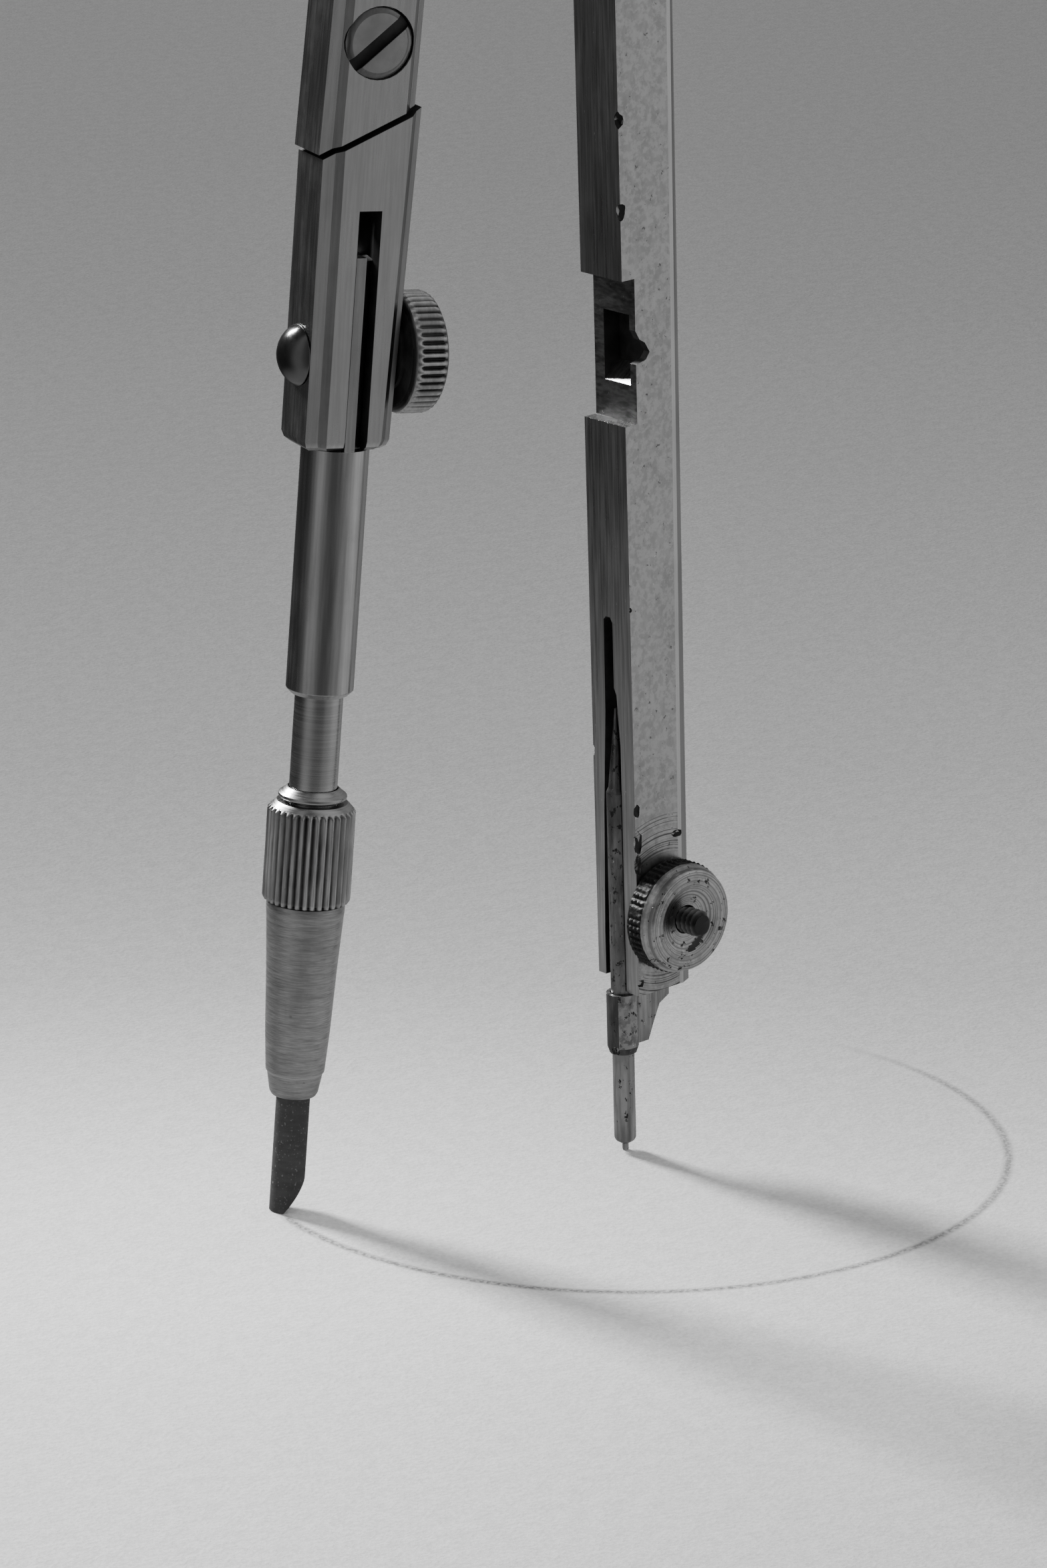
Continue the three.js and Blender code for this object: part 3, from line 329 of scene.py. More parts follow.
# ---------------------------------------------------------------- making pieces
SMOOTH_BELOW = math.radians(32)  # a sharper edge than this stays crisp


def finished(name, mesh, place, material, body, nodes=(), others=()):
    """A mesh in a part's own frame becomes a piece that rides on a body.
    Others are (material, test) pairs. A face takes the last one whose test its centre and normal pass."""
    piece = bpy.data.objects.new(name, mesh)
    bpy.context.scene.collection.objects.link(piece)
    piece.matrix_world = place
    mesh.materials.clear()
    mesh.materials.append(material)
    for other, test in others:
        mesh.materials.append(other)
    for face in mesh.polygons:
        face.use_smooth = True
        face.material_index = 0
        for i, (other, test) in enumerate(others):
            if test(face.center / MM, face.normal):
                face.material_index = i + 1
    mesh.set_sharp_from_angle(angle=SMOOTH_BELOW)
    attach(piece, body)
    if nodes:
        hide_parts(*nodes)
    return piece


def bevelled(piece, width, segments=3, angle=28):
    """Small rounded edges, so that they catch the light as real ones do."""
    bevel = piece.modifiers.new("edges", "BEVEL")
    bevel.width = width * MM
    bevel.segments = segments
    bevel.limit_method = "ANGLE"
    bevel.angle_limit = math.radians(angle)
    bevel.miter_outer = "MITER_ARC"
    normals = piece.modifiers.new("normals", "WEIGHTED_NORMAL")
    normals.keep_sharp = True
    return piece


def solid_of(node, place, splits=()):
    """The CAD node's solid in a part's own frame, with its flat faces whole again.
    Faces are split along planes, each a (point, normal) pair, so that their parts can differ in finish."""
    form = bmesh.new()
    form.from_mesh(frame["nodes"][node].data)
    form.transform(place.inverted())
    bmesh.ops.remove_doubles(form, verts=form.verts, dist=0.002 * MM)
    bmesh.ops.dissolve_limit(form, angle_limit=math.radians(0.6), verts=form.verts, edges=form.edges)
    for point, normal in splits:
        everything = form.verts[:] + form.edges[:] + form.faces[:]
        bmesh.ops.bisect_plane(form, geom=everything, plane_co=Vector(point) * MM, plane_no=normal)
    return form


def mesh_of(form, name):
    mesh = bpy.data.meshes.new(name)
    bmesh.ops.recalc_face_normals(form, faces=form.faces)
    form.to_mesh(mesh)
    form.free()
    for layer in ("custom_normal", "sharp_edge", "sharp_face"):
        if layer in mesh.attributes:
            mesh.attributes.remove(mesh.attributes[layer])
    return mesh


def linked(name, mesh):
    """A plain object, used up before the end."""
    blank = bpy.data.objects.new(name, mesh)
    bpy.context.scene.collection.objects.link(blank)
    return blank


def carved(mesh, cutters):
    """The mesh with the cutters taken out of it. They are used up."""
    blank = linked("blank", mesh)
    for cutter in cutters:
        cut = blank.modifiers.new("cut", "BOOLEAN")
        cut.operation = "DIFFERENCE"
        cut.solver = "EXACT"
        cut.object = cutter
    bpy.context.view_layer.update()
    result = bpy.data.meshes.new_from_object(blank.evaluated_get(bpy.context.evaluated_depsgraph_get()))
    result.name = mesh.name
    for leftover in (blank, *cutters):
        bpy.data.objects.remove(leftover)
    return result


def refined(node, place, material, body, width, cutters=(), others=(), splits=()):
    """The CAD node with rounded edges, and with any cutters taken out of it."""
    name = node + "_fine"
    mesh = mesh_of(solid_of(node, place, splits), name)
    if cutters:
        mesh = carved(mesh, cutters)
    piece = finished(name, mesh, place, material, body, [node], others)
    return bevelled(piece, width)


def turned_mesh(name, rings, around, radius_at=None, closed=False):
    """A body of revolution about Z from [radius, height] points. radius_at may change each ring's radius.
    A closed one is a tube whose points run up its outside and down its bore."""
    form = bmesh.new()
    grid = []
    for level, (r, z) in enumerate(rings):
        if r < 1e-6:
            grid.append([form.verts.new((0, 0, z * MM))])
            continue
        row = []
        for i in range(around):
            angle = 2 * math.pi * i / around
            shaped = radius_at(level, r, z, angle) if radius_at else r
            point = Vector((shaped * math.cos(angle), shaped * math.sin(angle), z))
            row.append(form.verts.new(point * MM))
        grid.append(row)
    pairs = list(zip(grid, grid[1:]))
    if closed:
        pairs.append((grid[-1], grid[0]))
    for low, high in pairs:
        for i in range(around):
            j = (i + 1) % around
            if len(low) == 1:
                form.faces.new((low[0], high[j], high[i]))
            elif len(high) == 1:
                form.faces.new((low[i], low[j], high[0]))
            else:
                form.faces.new((low[i], low[j], high[j], high[i]))
    return mesh_of(form, name)


def eased(points, radius, steps=3):
    """The profile with each of its corners rounded."""
    result = [points[0]]
    for before, corner, after in zip(points, points[1:], points[2:]):
        a, b = Vector(before) - Vector(corner), Vector(after) - Vector(corner)
        reach = min(radius, a.length * 0.45, b.length * 0.45)
        if reach < 1e-4:
            result.append(corner)
            continue
        start = Vector(corner) + a.normalized() * reach
        end = Vector(corner) + b.normalized() * reach
        for i in range(steps + 1):
            t = i / steps
            p = start * (1 - t) ** 2 + Vector(corner) * 2 * t * (1 - t) + end * t ** 2
            result.append((p.x, p.y))
    result.append(points[-1])
    return result


def lathe(
    name, points, place, material, body, nodes=(), ease=0.06, around=112, closed=False,
    radius_at=None, others=(),
):
    """A turned piece from its profile, with corners of a small radius, ease."""
    profile = eased(points, ease) if ease else points
    mesh = turned_mesh(name, profile, around, radius_at, closed)
    return finished(name, mesh, place, material, body, nodes, others)


def dense(points, step):
    """The profile with points added so that none are further apart than a step."""
    result = []
    for (r0, z0), (r1, z1) in zip(points, points[1:]):
        count = max(1, math.ceil(math.hypot(r1 - r0, z1 - z0) / step))
        result += [(r0 + (r1 - r0) * i / count, z0 + (z1 - z0) * i / count) for i in range(count)]
    return result + [points[-1]]


def knurl(teeth, depth, low, high, fade, outside, wear=0.0, cross=0.0, patches=1.4):
    """Straight ridges between two heights, as a change of radius. Cross ridges run round at a pitch.
    Wear rubs the ridges off in places, which get smaller as patches goes up."""
    def radius_at(level, r, z, angle):
        if r < outside:
            return r
        inside = min(1, max(0, (z - low) / fade)) * min(1, max(0, (high - z) / fade))
        ridge = abs(math.cos(teeth * angle / 2)) ** 1.6
        if cross:
            ridge *= 0.35 + 0.65 * abs(math.cos(math.pi * z / cross)) ** 1.2
        where = Vector((math.cos(angle), math.sin(angle), z * 0.36)) * patches
        rub = wear * noise.noise(where)
        return r - depth * inside * max(0, (1 - ridge) * (1 - max(0, rub))) - depth * 0.4 * max(0, rub)
    return radius_at


def block_cutter(low, high):
    form = bmesh.new()
    bmesh.ops.create_cube(form, size=1)
    for v in form.verts:
        for i in range(3):
            v.co[i] = (low[i] if v.co[i] < 0 else high[i]) * MM
    return linked("cutter", mesh_of(form, "cutter"))


def bite(x, y, z, size, seed, stretch=(1, 1, 1)):
    """A small broken-out hollow: a lumpy ball."""
    form = bmesh.new()
    bmesh.ops.create_icosphere(form, subdivisions=2, radius=1)
    for v in form.verts:
        wobble = 1 + 0.45 * noise.noise(v.co * 1.7 + Vector((seed, seed * 2, 0)))
        v.co = Vector(v.co[i] * wobble * size * stretch[i] for i in range(3))
        v.co = (v.co + Vector((x, y, z))) * MM
    return linked("cutter", mesh_of(form, "cutter"))


def ring_cutter(points, around=96):
    """A ring round a part's Y axis, from [radius, distance in front] points."""
    mesh = turned_mesh("cutter", points, around, closed=True)
    mesh.transform(Matrix.Rotation(math.pi / 2, 4, "X"))
    return linked("cutter", mesh)


# ---------------------------------------------------------------- lead leg: insert and its clutch
def chiselled_lead():
    """A round stick, cut off at a slant."""
    radius, bottom, top = 0.975, -0.04, 32.0
    form = bmesh.new()
    bmesh.ops.create_cone(
        form, cap_ends=True, segments=72, radius1=radius * MM, radius2=radius * MM, depth=(top - bottom) * MM
    )
    for v in form.verts:
        v.co.z += (top + bottom) / 2 * MM
    low, high = Vector((-0.55, 0, -0.06)) * MM, Vector((radius, 0, 2.15)) * MM
    slope = high - low
    normal = Vector((slope.z, 0, -slope.x)).normalized()
    geometry = form.verts[:] + form.edges[:] + form.faces[:]
    cut = bmesh.ops.bisect_plane(form, geom=geometry, plane_co=low, plane_no=normal, clear_outer=True)
    rim = [e for e in cut["geom_cut"] if isinstance(e, bmesh.types.BMEdge)]
    bmesh.ops.holes_fill(form, edges=rim, sides=0)
    mesh = mesh_of(form, "lead_fine")
    piece = finished("lead_fine", mesh, LOWER, GRAPHITE, "lead_stick", ["lead"])
    return bevelled(piece, 0.2, 5, 24)


chiselled_lead()

nose_outside = [
    (1.14, 6.95), (1.27, 6.98), (1.4, 7.2), (1.6, 8.34), (1.645, 8.4), (1.69, 8.45), (1.86, 10.9),
    (2.02, 14.5), (2.2, 17.6), (2.24, 18.1), (2.24, 18.55),
]
lathe(
    "nose_sleeve_fine",
    nose_outside + [(1.43, 18.55), (1.43, 17.4), (1.25, 17.05), (1.25, 7.2), (1.03, 7.2), (1.03, 6.95)],
    LOWER, BRUSHED_NOSE, "lead_insert", ["nose_sleeve"], closed=True,
    others=[(NICKEL_TURNED, lambda c, n: 8.3 < c.z < 8.48 and math.hypot(c.x, c.y) > 1.5)],
)

sleeve_outside = [
    (2.3, 18.6), (2.44, 18.64), (2.52, 18.8), (2.52, 23.9), (2.49, 23.97), (2.1, 24.38), (2.02, 24.44),
    (1.9, 24.45),
]
lathe(
    "clutch_sleeve_fine",
    dense(sleeve_outside, 0.12) + [(1.43, 24.45), (1.43, 18.6)],
    LOWER, SLEEVE_NICKEL, "clutch", ["clutch_sleeve"], ease=0, around=34 * 12, closed=True,
    radius_at=knurl(34, 0.2, 18.55, 24.12, 0.16, 2.1, wear=0.35),
    others=[(ROD_STEEL, lambda c, n: c.z > 23.9 and n.z > 0.3)],
)

collar = [
    (1.8, 24.62), (1.93, 24.68), (1.96, 24.78), (1.94, 24.88), (1.72, 25.04), (1.52, 25.22), (1.43, 25.28),
    (1.43, 24.62),
]
lathe(
    "stop_collar_fine", collar, LOWER, ROD_STEEL, "lead_insert", ["stop_collar"], ease=0.03,
    closed=True,
)

refined("collet", LOWER, ROD_STEEL, "lead_insert", 0.05)
refined(
    "insert_shank", LOWER, SHANK_NICKEL, "lead_insert", 0.07,
    # Painted shade and dirt: the shank is darker above 46 mm, where it goes into the socket.
    others=[(SOILED_AND_SHADED_STEEL, lambda c, n: c.z > 46 and n.y > -0.9)],
)


# ---------------------------------------------------------------- lead leg: socket, screw, nut, upper leg
# Painted shade: the legs' side faces take a darker copy of the nickel.
def on_side(centre, normal):
    return abs(normal.x) > 0.9


def on_shelf(centre, normal):
    """The leg's lower steps beside its panels."""
    return abs(centre.y) < 1.7 and abs(normal.y) > 0.9 and abs(centre.x) > 1.4


def on_bevel(centre, normal):
    """The slope from a step up to its panel, which takes a darker copy of the nickel as painted shade."""
    return 1.6 < abs(centre.y) < 1.95 and 0.4 < abs(normal.y) < 0.9 and abs(centre.x) > 1.2


def in_socket(centre, normal):
    """The inside of the slot, of the bore and of the knee joint, painted near-black as shade."""
    return abs(centre.x - 0.31) < 1.6 and abs(normal.y) < 0.9 and 45.2 < centre.z < 60 or (
        centre.z > 60 and normal.z > 0.3
    )


# Painted shade on the side faces, on the slopes up to the panels and inside the socket.
refined(
    "lead_socket_block", LOWER, NICKEL, "lead_socket", 0.1,
    others=[(SHADED_SIDE_NICKEL, on_side), (SHELF_NICKEL, on_shelf), (SHADED_BEVEL_NICKEL, on_bevel), (PAINTED_SHADE_AND_DIRT, in_socket)],
)
refined("clamp_screw", LOWER, DOME_STEEL, "lead_socket", 0.06)

nut_profile = [
    (2.1, 0.0), (2.1, 0.2), (3.05, 0.22), (3.36, 0.42), (3.45, 0.66), (3.45, 1.98), (3.34, 2.24),
    (3.0, 2.45), (2.3, 2.45), (2.12, 2.38), (1.1, 2.18), (0.8, 2.15), (0.8, 0.0),
]
lathe(
    "clamp_nut_fine",
    dense(nut_profile, 0.14),
    SOCKET_CLAMP, NUT_NICKEL, "socket_nut", ["clamp_nut"], ease=0, around=44 * 9, closed=True,
    radius_at=knurl(44, 0.24, 0.5, 2.3, 0.3, 3.1, wear=0.1),
    # Painted shade: the nut's back face, against the leg, is near-black.
    others=[(PAINTED_SHADE_AND_DIRT, lambda c, n: c.z < 0.24)],
)


# Painted shade: the upper leg's fork at the knee, on its underside and inner faces.
def in_fork(centre, normal):
    return centre.z < 3 and (normal.z < -0.3 or abs(centre.y) < 1.2)


# Painted shade on the side faces, on the slopes up to the panels and inside the fork.
refined(
    "lead_upper_leg", UPPER, NICKEL, "lead_leg", 0.1,
    others=[(SHADED_SIDE_NICKEL, on_side), (SHELF_NICKEL, on_shelf), (SHADED_BEVEL_NICKEL, on_bevel), (PAINTED_SHADE_AND_DIRT, in_fork)],
)
SCREW_FRONT = 2.03  # the knee screw's face, in front of the leg's middle
screw_rim = [(1.45, SCREW_FRONT + 0.05), (2.2, SCREW_FRONT + 0.05), (2.2, SCREW_FRONT - 0.32)]
refined(
    "knee_screw", UPPER, SCREW_STEEL, "lead_leg", 0.04, cutters=[ring_cutter(screw_rim)],
    others=[
        # Painted shade: a darker ring on the screw's chamfer, and near-black in the recess round the screw.
        (SHADED_BEVEL_NICKEL, lambda c, n: -0.97 < n.y < -0.6 and math.hypot(c.x, c.z) > 1.4),
        (PAINTED_SHADE_AND_DIRT, lambda c, n: c.y > 0.35 - SCREW_FRONT or (abs(n.y) < 0.5 and math.hypot(c.x, c.z) < 1.85)),
        (PAINTED_SHADE_AND_DIRT, lambda c, n: n.y < -0.97 and c.y > 0.2 - SCREW_FRONT),
    ],
)
refined("lead_leg_head", UPPER, NICKEL, "lead_leg", 0.06)
refined("lead_leg_pin", UPPER, SCREW_STEEL, "lead_leg", 0.05)
for side in ("front", "back"):
    refined(f"knee_washer_{side}", UPPER, BRONZE, "lead_leg", 0.02)

# ---------------------------------------------------------------- needle leg
bites = [
    bite(-0.42, -1.86, 62.1, 0.42, 1.3, (1.1, 1, 1.25)),
    bite(-0.42, -1.86, 56.9, 0.4, 4.1, (1.0, 1, 1.3)),
    bite(-0.38, -1.9, 51.0, 0.2, 2.2),
    bite(-0.16, -1.9, 21.4, 0.28, 5.2, (1.0, 1, 1.5)),
    bite(-0.12, -1.9, 19.5, 0.32, 7.7, (1.2, 1, 2.3)),
    bite(-0.14, -1.9, 18.2, 0.26, 9.7, (1.1, 1, 2.6)),
    bite(-0.14, -1.9, 10.9, 0.26, 8.8, (1.4, 1, 1)),
    bite(-0.12, -1.9, 12.6, 0.17, 2.8),
    bite(-0.3, -1.85, 33.6, 0.16, 3.4),
    bite(2.96, -1.9, 19.4, 0.3, 3.7, (1.7, 1, 0.8)),
    bite(-0.32, 1.75, 24.4, 0.2, 6.4, (1, 1, 1.8)),
]


def in_chip(centre, normal):
    """The inside of a bite, which unlike the bar's own faces is slanted. It is painted near-black as shade.
    """
    on_edge = centre.x < 0.6 or (centre.x > 2.3 and 19.0 < centre.z < 19.8)
    return centre.y < -1.2 and on_edge and max(abs(v) for v in normal) < 0.97


def in_pocket(centre, normal):
    return 0.6 < centre.x < 1.95 and -1.75 < centre.y < 1.2 and 45.5 < centre.z < 51.5 and normal.z < 0.5


def in_slit(centre, normal):
    return centre.z < 33 and -0.75 < centre.y < 1.1 and abs(normal.x) < 0.5 and abs(centre.x) < 3.6


RUB_X, RUB_TAPER = 2.86, 0.0076  # where the front face's rubbed strip begins, and how it leans out
POCKET_CUTS = (46.2, 49.0, 51.2)  # heights that part the pocket's faces from the ones above and below


def on_rubbed_strip(centre, normal):
    return normal.y < -0.95 and centre.x - RUB_TAPER * centre.z > RUB_X


refined(
    "needle_leg_bar", NEEDLE, WORN_BAR, "needle_leg", 0.07, cutters=bites,
    others=[
        (BAR_SIDE, lambda c, n: n.x < -0.6),
        (NOTCH_FLOOR, lambda c, n: n.x < -0.6 and 44.2 < c.z < 53 and abs(c.x - 0.55) < 0.1),
        (RUBBED_STRIP_AND_HIGHLIGHT, on_rubbed_strip),
        # Painted highlight: the notch's upward-facing shoulder takes the lighter strip metal.
        (RUBBED_STRIP_AND_HIGHLIGHT, lambda c, n: n.z > 0.9 and 43 < c.z < 46 and c.x < 0.7),
        (BAR_EDGE, lambda c, n: n.x > 0.3 and n.y < -0.5),
        # Painted shade: near-black inside the chips, the slit and the pocket.
        (PAINTED_SHADE_AND_DIRT, in_chip),
        (PAINTED_SHADE_AND_DIRT, in_slit),
        (PAINTED_SHADE_AND_DIRT, in_pocket),
    ],
    splits=[*[((0, 0, z), (0, 0, 1)) for z in POCKET_CUTS], ((RUB_X, 0, 0), (1, 0, -RUB_TAPER))],
)
refined("needle_leg_head", NEEDLE, NICKEL, "needle_leg", 0.06)
refined("needle_leg_pin", NEEDLE, SCREW_STEEL, "needle_leg", 0.05)


def on_shaded_side(centre, normal):
    """Painted shade: the holder's mouth, and the side of its collar that faces the lead leg."""
    faces_lead = normal.y * 0.656 - normal.x * 0.755
    return centre.z < 6.62 or faces_lead > 0.3


holder_bites = [
    bite(2.4, -0.75, 10.0, 0.35, 1.9),
    bite(1.2, -0.9, 6.4, 0.35, 3.9, (1, 1, 0.8)),
    bite(-0.85, -0.3, 6.4, 0.3, 5.1, (0.8, 1, 1.2)),
]
refined(
    "needle_holder", NEEDLE, RAW_STEEL, "needle_leg", 0.08, cutters=holder_bites,
    others=[
        (NEEDLE_STEEL, lambda c, n: c.x > 0.95 and n.y < -0.9),
        (SHADED_HOLDER_STEEL, on_shaded_side),
    ],
)

needle_profile = [
    (0, 0), (0.15, 0), (0.19, 0.08), (0.19, 0.44), (0.3, 0.5), (0.55, 0.66), (0.64, 0.82), (0.65, 1.0),
    (0.65, 7.5), (0.65, 22.2), (0.6, 22.32), (0.52, 22.5), (0.08, 27.28), (0, 27.3),
]
# The needle's steel is darker above 7.5 mm: dirt and painted shade where it sits in the leg.
lathe(
    "needle_fine", needle_profile, NEEDLE, NEEDLE_STEEL, "needle_point", ["needle"], ease=0.03,
    around=64, others=[(SOILED_AND_SHADED_STEEL, lambda c, n: c.z > 7.5)],
)

# the needle leg's clamp screw, along its own Z from the leg's middle
SCREW_R, SCREW_END = 0.8, 5.0
THREAD_FROM, THREAD_PITCH, THREAD_DEPTH = 1.9, 0.4, 0.2
HEAD_FROM = -1.75


def clamp_screw_thread():
    """The clamp screw's shank, with a real helix on its free end."""
    def helix(level, r, z, angle):
        if z < THREAD_FROM or r < 0.6:
            return r
        phase = (z / THREAD_PITCH - angle / (2 * math.pi)) % 1
        fade = min(1, (z - THREAD_FROM) / 0.3)
        return r - THREAD_DEPTH * fade * abs(2 * phase - 1) ** 0.8

    fine_from, fine_step = 1.5, 0.03
    count = int((SCREW_END - 0.12 - fine_from) / fine_step)
    levels = [(0, -1.7), (SCREW_R - 0.05, -1.7)]
    levels += [(SCREW_R, -1.6 + 0.25 * i) for i in range(13)]
    levels += [(SCREW_R, fine_from + fine_step * i) for i in range(count)]
    levels += [(0.72, SCREW_END - 0.06), (0.55, SCREW_END - 0.01), (0, SCREW_END)]
    name = "needle_clamp_screw_thread"
    mesh = turned_mesh(name, levels, 64, helix)
    thread = finished(name, mesh, NEEDLE_CLAMP, DARK_THREAD, "needle_leg")
    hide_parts("needle_clamp_screw")


def clamp_screw_head():
    """The clamp screw's slotted head behind the leg."""
    profile = [
        (0, HEAD_FROM - 0.9), (0.9, HEAD_FROM - 0.88), (1.45, HEAD_FROM - 0.68), (1.75, HEAD_FROM - 0.36),
        (1.75, HEAD_FROM), (0, HEAD_FROM),
    ]
    name = "needle_clamp_screw_head"
    slot = block_cutter((-3, -0.25, HEAD_FROM - 2), (3, 0.25, HEAD_FROM - 0.55))
    mesh = carved(turned_mesh(name, eased(profile, 0.05), 72), [slot])
    finished(name, mesh, NEEDLE_CLAMP, SCREW_STEEL, "needle_leg")


clamp_screw_thread()
clamp_screw_head()

nut_back, nut_front = 1.85, 4.0  # along the screw, from the leg's middle
needle_nut_profile = [
    (2.9, nut_back), (3.1, nut_back + 0.06), (3.33, nut_back + 0.3), (3.33, nut_front - 0.86),
    (3.27, nut_front - 0.76), (2.98, nut_front - 0.06), (2.9, nut_front), (2.1, nut_front - 0.02),
    (1.95, nut_front - 0.1), (1.35, nut_front - 0.36), (1.1, nut_front - 0.4), (0.85, nut_front - 0.4),
    (0.85, nut_back),
]


def in_gouge(centre, normal):
    """The dark mark in the nut's face, a ragged arc below the screw."""
    start, span = -100, 54
    along = (math.degrees(math.atan2(centre.y, centre.x)) - start) / span
    middle = 1.85 - 0.27 * along + 0.08 * noise.noise(centre * 5)
    half_width = 0.17 * math.sin(math.pi * along) + 0.03
    return 0 < along < 1 and abs(math.hypot(centre.x, centre.y) - middle) < half_width and normal.z > 0


def on_nut_rim(centre, normal):
    return math.hypot(centre.x, centre.y) > 2.95 and centre.z < nut_front - 0.78


lathe(
    "needle_clamp_nut_fine",
    dense(needle_nut_profile, 0.1),
    NEEDLE_CLAMP, WORN_NUT, "needle_nut", ["needle_clamp_nut"], ease=0, around=52 * 7,
    closed=True,
    radius_at=knurl(
        52, 0.16, nut_back + 0.15, nut_front - 0.72, 0.2, 3.05, wear=1.6, cross=0.34, patches=3.6
    ),
    others=[(NUT_RIM, on_nut_rim), (PAINTED_SHADE_AND_DIRT, in_gouge)],
)

# ---------------------------------------------------------------- head and handle
for node in ("head_front_plate", "head_back_plate"):
    refined(node, HEAD, NICKEL, "head", 0.14)
refined("handle_yoke", HEAD, NICKEL_TURNED, "head", 0.1)
for leg in ("lead", "needle"):
    refined(f"pivot_screw_{leg}", HEAD, SCREW_STEEL, "head", 0.1)
    refined(f"pivot_nut_{leg}", HEAD, SCREW_STEEL, "head", 0.08)
    refined(f"plate_screw_{leg}", HEAD, SCREW_STEEL, "head", 0.06)
    for side in ("front", "back"):
        refined(f"pivot_washer_{leg}_{side}", HEAD, BRONZE, "head", 0.03)

grip_profile = [
    (0, 22.4), (1.65, 22.4), (1.65, 13.0), (2.55, 13.0), (2.72, 13.05), (3.24, 13.75), (3.3, 13.95),
    (3.3, 14.6), (3.3, 33.6), (3.3, 34.3), (3.18, 34.6), (2.85, 35.25), (2.1, 35.9), (1.9, 36.0), (0, 36.0),
]
lathe(
    "handle_grip_fine",
    dense(grip_profile, 0.3),
    HEAD, NICKEL_TURNED, "head", ["handle_grip"], ease=0, around=36 * 9,
    radius_at=knurl(36, 0.24, 14.7, 33.5, 0.4, 3.2, wear=0.2),
)

# ---------------------------------------------------------------- paper
ROOM = (  # (azimuth in degrees, brightness) of what the metal mirrors around it
    (-180, 0.16), (-168, 0.3), (-150, 0.3), (-138, 0.18), (-126, 0.1), (-96, 0.09), (-84, 0.2), (-60, 0.28),
    (-40, 0.5), (-10, 0.5), (20, 0.3), (60, 0.12), (75, 0.04), (150, 0.035), (168, 0.06), (180, 0.16),
)
NEAREST, FARTHEST = -60, 600
PAPER_SHADE_BY_DEPTH = (  # (depth behind the needle in millimetres, tone), painted shade that darkens the paper further back
    (NEAREST, 0.66), (-41, 0.71), (-24, 0.8), (-7, 0.75), (8, 0.58), (19, 0.45), (30, 0.345), (43, 0.285),
    (55, 0.245), (76, 0.207), (115, 0.171), (160, 0.142), (214, 0.118), (279, 0.104), (348, 0.098),
    (FARTHEST, 0.09),
)
HEADING = math.radians(26)  # of the camera's look, from +Y towards +X
AHEAD = (math.sin(HEADING), math.cos(HEADING), 0)
RIGHT = (math.cos(HEADING), -math.sin(HEADING), 0)
NEAR_PAPER = 0.36  # brightness of the nearest paper as the metal mirrors it
MIDDLE = (-0.01, 0, 0)  # between the legs' feet
DRAWN_R = 22.5  # radius of the pencil line round the needle


def tone_ramp(tree, steps, low, high):
    """A ramp of grey levels between two ends, and its stops as (place, level)."""
    ramp = tree.nodes.new("ShaderNodeValToRGB")
    stops = ramp.color_ramp.elements
    for i, (place, level) in enumerate(steps):
        place = (place - low) / (high - low)
        stop = stops[i] if i < 2 else stops.new(place)
        stop.position = place
        stop.color = (level, level, level, 1)
    return ramp


def azimuth_of(tree, vector, centre):
    """0 to 1 for a full turn from -X, of a direction or a place about the compass."""
    shift = tree.nodes.new("ShaderNodeVectorMath")
    shift.operation = "SUBTRACT"
    shift.inputs[1].default_value = centre
    tree.links.new(vector, shift.inputs[0])
    parts = tree.nodes.new("ShaderNodeSeparateXYZ")
    tree.links.new(shift.outputs[0], parts.inputs[0])
    angle = tree.nodes.new("ShaderNodeMath")
    angle.operation = "ARCTAN2"
    tree.links.new(parts.outputs["Y"], angle.inputs[0])
    tree.links.new(parts.outputs["X"], angle.inputs[1])
    turn = tree.nodes.new("ShaderNodeMapRange")
    turn.inputs["From Min"].default_value = -math.pi
    turn.inputs["From Max"].default_value = math.pi
    tree.links.new(angle.outputs[0], turn.inputs["Value"])
    return turn.outputs[0]


def paper_painted_shade(n):
    """Painted shade: the paper's tone falls off with depth, standing in for light that falls off, and is a
    little darker near the compass on the right.
    """
    along = n.reach(AHEAD)
    depth = n.add("ShaderNodeMapRange")
    depth.inputs["From Min"].default_value = NEAREST * MM
    depth.inputs["From Max"].default_value = FARTHEST * MM
    n.join(along, "Value", depth, "Value")
    tone = tone_ramp(n.tree, PAPER_SHADE_BY_DEPTH, NEAREST, FARTHEST)
    n.join(depth, 0, tone, 0)
    right = n.ramp(n.reach(RIGHT), -0.03, 0.03, "Value")
    close = n.math("SUBTRACT", 1.0, n.ramp(along, 0.0, 0.06, "Value"))
    return n.mix("MULTIPLY", tone, n.blend(n.math("MULTIPLY", right, close), 1.0, 0.7))


def pencil_line(n, tooth):
    """How dark the drawn arc is: a thin ring round the needle, broken by the paper's tooth."""
    off_line = n.math("ABSOLUTE", n.math("SUBTRACT", n.radius(), DRAWN_R * MM), 0)
    line = n.math("SUBTRACT", 1.0, n.ramp(off_line, 0.05 * MM, 0.48 * MM))
    angle = n.add("ShaderNodeMapRange")
    turn = azimuth_of(n.tree, n.coordinates.outputs["Object"], (0, 0, 0))
    n.tree.links.new(turn, angle.inputs["Value"])
    drawn = n.math("MULTIPLY", n.ramp(angle, 0.0, 0.012), n.math("SUBTRACT", 1.0, n.ramp(angle, 0.5, 0.6)))
    broken = n.math("ADD", n.ramp(tooth, 0.35, 0.6), 0.5)
    return n.math("MULTIPLY", n.math("MULTIPLY", line, drawn), n.math("MULTIPLY", broken, 0.6))


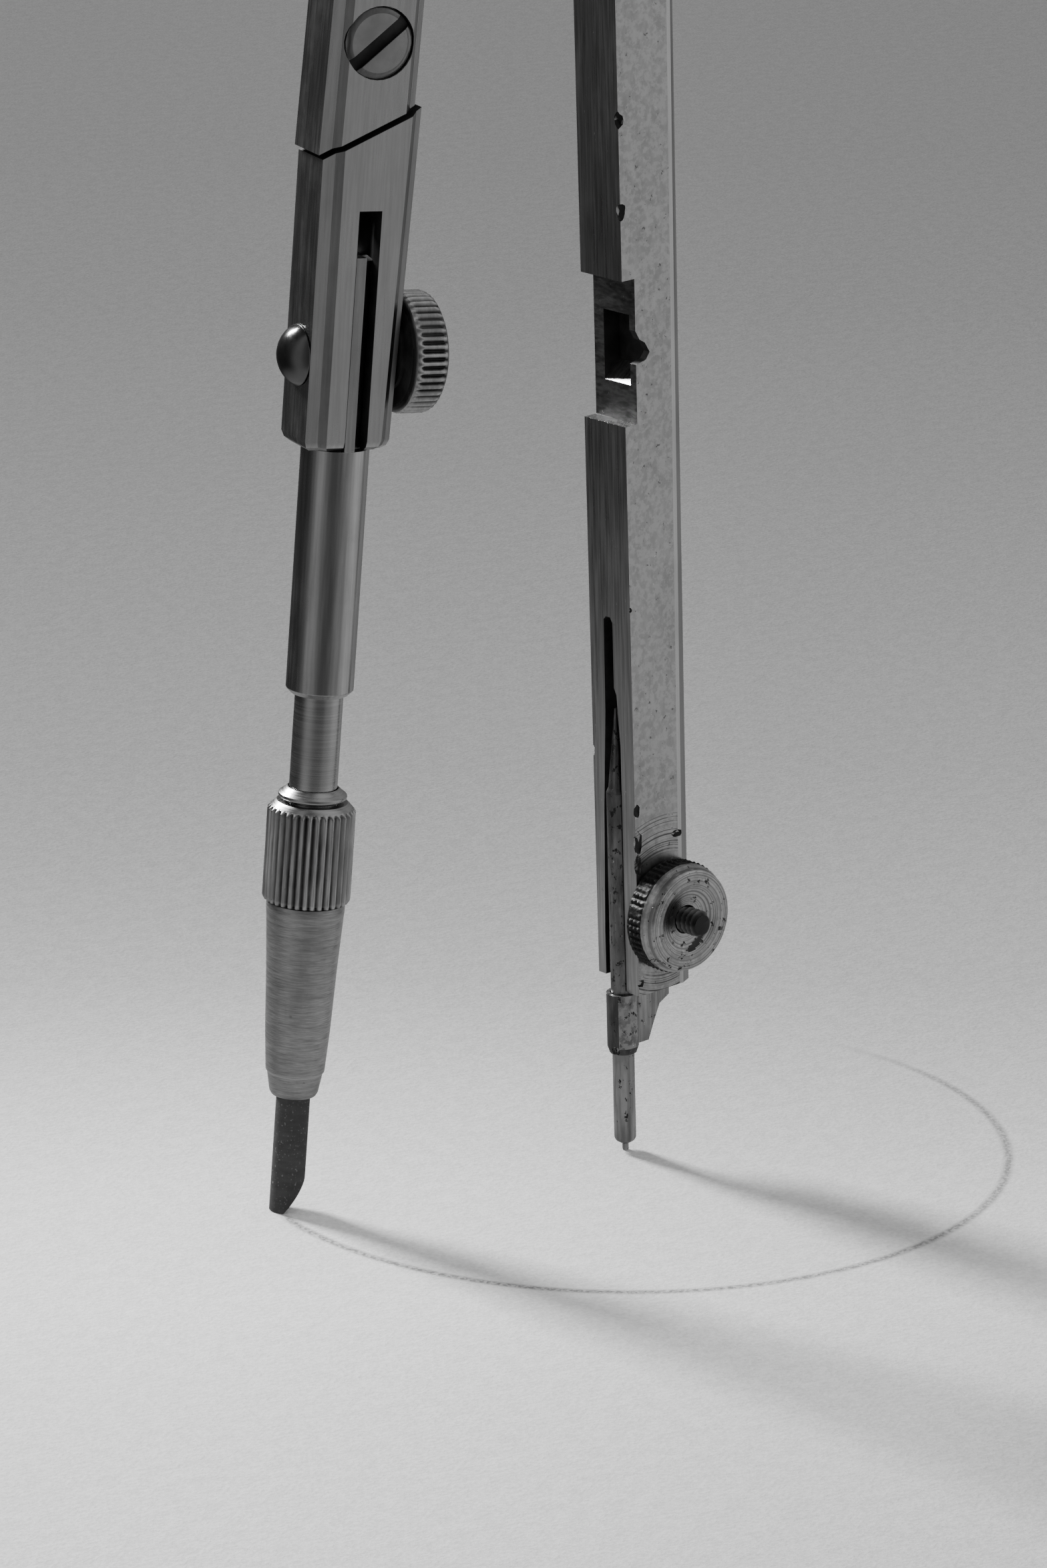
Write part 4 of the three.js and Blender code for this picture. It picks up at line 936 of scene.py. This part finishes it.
def mirrored_floor(n):
    """What the metal mirrors in place of the floor: paper close by, and the room beyond it."""
    around = tone_ramp(n.tree, ROOM, -180, 180)
    n.tree.links.new(azimuth_of(n.tree, n.coordinates.outputs["Object"], MIDDLE), around.inputs[0])
    away = n.radius(centre=[c / MM for c in MIDDLE])
    mirrored = n.add("ShaderNodeEmission")
    n.join(n.blend(n.ramp(away, 0.025, 0.11), NEAR_PAPER, around), 2, mirrored, 0)
    return mirrored


def paper_material():
    n = Nodes("paper")
    fibre = n.noise((900, 900, 900), 5, 0.65)
    tooth = n.noise((3600, 3600, 3600), 3, 0.6)
    grain = n.math("ADD", n.math("MULTIPLY", fibre, 0.5), n.math("MULTIPLY", tooth, 0.5))
    flecked = n.mix("MULTIPLY", paper_painted_shade(n), n.blend(n.ramp(grain, 0.35, 0.65), 0.89, 1.08))
    n.join(n.blend(pencil_line(n, tooth), flecked, 0.16), 2, n.shader, "Base Color")
    n.shader.inputs["Roughness"].default_value = 0.9
    n.shader.inputs["Specular IOR Level"].default_value = 0.1
    n.bump([(fibre, 0.06), (tooth, 0.04)])
    # Glossy rays see the floor glow: a painted reflection of paper close by and of the room beyond it.
    seen = n.add("ShaderNodeLightPath")
    either = n.add("ShaderNodeMixShader")
    n.join(seen, "Is Glossy Ray", either, 0)
    n.join(n.shader, 0, either, 1)
    n.join(mirrored_floor(n), 0, either, 2)
    n.join(either, 0, n.output, 0)
    return n.material


bpy.ops.mesh.primitive_grid_add(x_subdivisions=8, y_subdivisions=8, size=6.0)
paper = bpy.context.object
paper.name = "paper_floor"
paper.data.materials.append(paper_material())

# ---------------------------------------------------------------- camera
camera_data = bpy.data.cameras.new("camera")
camera_data.sensor_fit = "VERTICAL"
camera_data.sensor_height = 36
camera_data.lens = 153.26
camera_data.clip_start = 0.01
camera_data.clip_end = 20
camera = bpy.data.objects.new("camera", camera_data)
bpy.context.scene.collection.objects.link(camera)
camera.location = (-0.16687, -0.32843, 0.13870)
tilt = math.radians(17.5)
look = Vector(AHEAD) * math.cos(tilt)
look.z = -math.sin(tilt)
camera.rotation_euler = look.to_track_quat("-Z", "Y").to_euler()
bpy.context.scene.camera = camera


# ---------------------------------------------------------------- light
def area_light(name, azimuth, elevation, distance, size, power, target):
    """A soft light that shines on the target from an azimuth (0 is +X, 90 is +Y)."""
    data = bpy.data.lights.new(name, "AREA")
    data.shape = "RECTANGLE"
    data.size, data.size_y = size
    data.energy = power
    light = bpy.data.objects.new(name, data)
    bpy.context.scene.collection.objects.link(light)
    a, e = math.radians(azimuth), math.radians(elevation)
    direction = Vector((math.cos(a) * math.cos(e), math.sin(a) * math.cos(e), math.sin(e)))
    light.location = Vector(target) + direction * distance
    light.rotation_euler = (-direction).to_track_quat("-Z", "Y").to_euler()


area_light("window", 110, 36, 3.0, (0.53, 1.0), 211.0, (-0.01, 0, 0.04))


def room_world():
    """Soft light from all round for the paper, and a darker room for the metal to mirror."""
    world = bpy.data.worlds.new("room")
    world.use_nodes = True
    tree = world.node_tree
    tree.nodes.clear()
    soft = tree.nodes.new("ShaderNodeBackground")
    soft.inputs["Color"].default_value = (0.72, 0.72, 0.72, 1)
    mirrored = tree.nodes.new("ShaderNodeBackground")
    coordinates = tree.nodes.new("ShaderNodeTexCoord")
    around = tone_ramp(tree, ROOM, -180, 180)
    tree.links.new(azimuth_of(tree, coordinates.outputs["Generated"], (0, 0, 0)), around.inputs[0])
    tree.links.new(around.outputs[0], mirrored.inputs[0])
    seen = tree.nodes.new("ShaderNodeLightPath")
    either = tree.nodes.new("ShaderNodeMixShader")
    tree.links.new(seen.outputs["Is Glossy Ray"], either.inputs[0])
    tree.links.new(soft.outputs[0], either.inputs[1])
    tree.links.new(mirrored.outputs[0], either.inputs[2])
    output = tree.nodes.new("ShaderNodeOutputWorld")
    tree.links.new(either.outputs[0], output.inputs[0])
    bpy.context.scene.world = world


room_world()
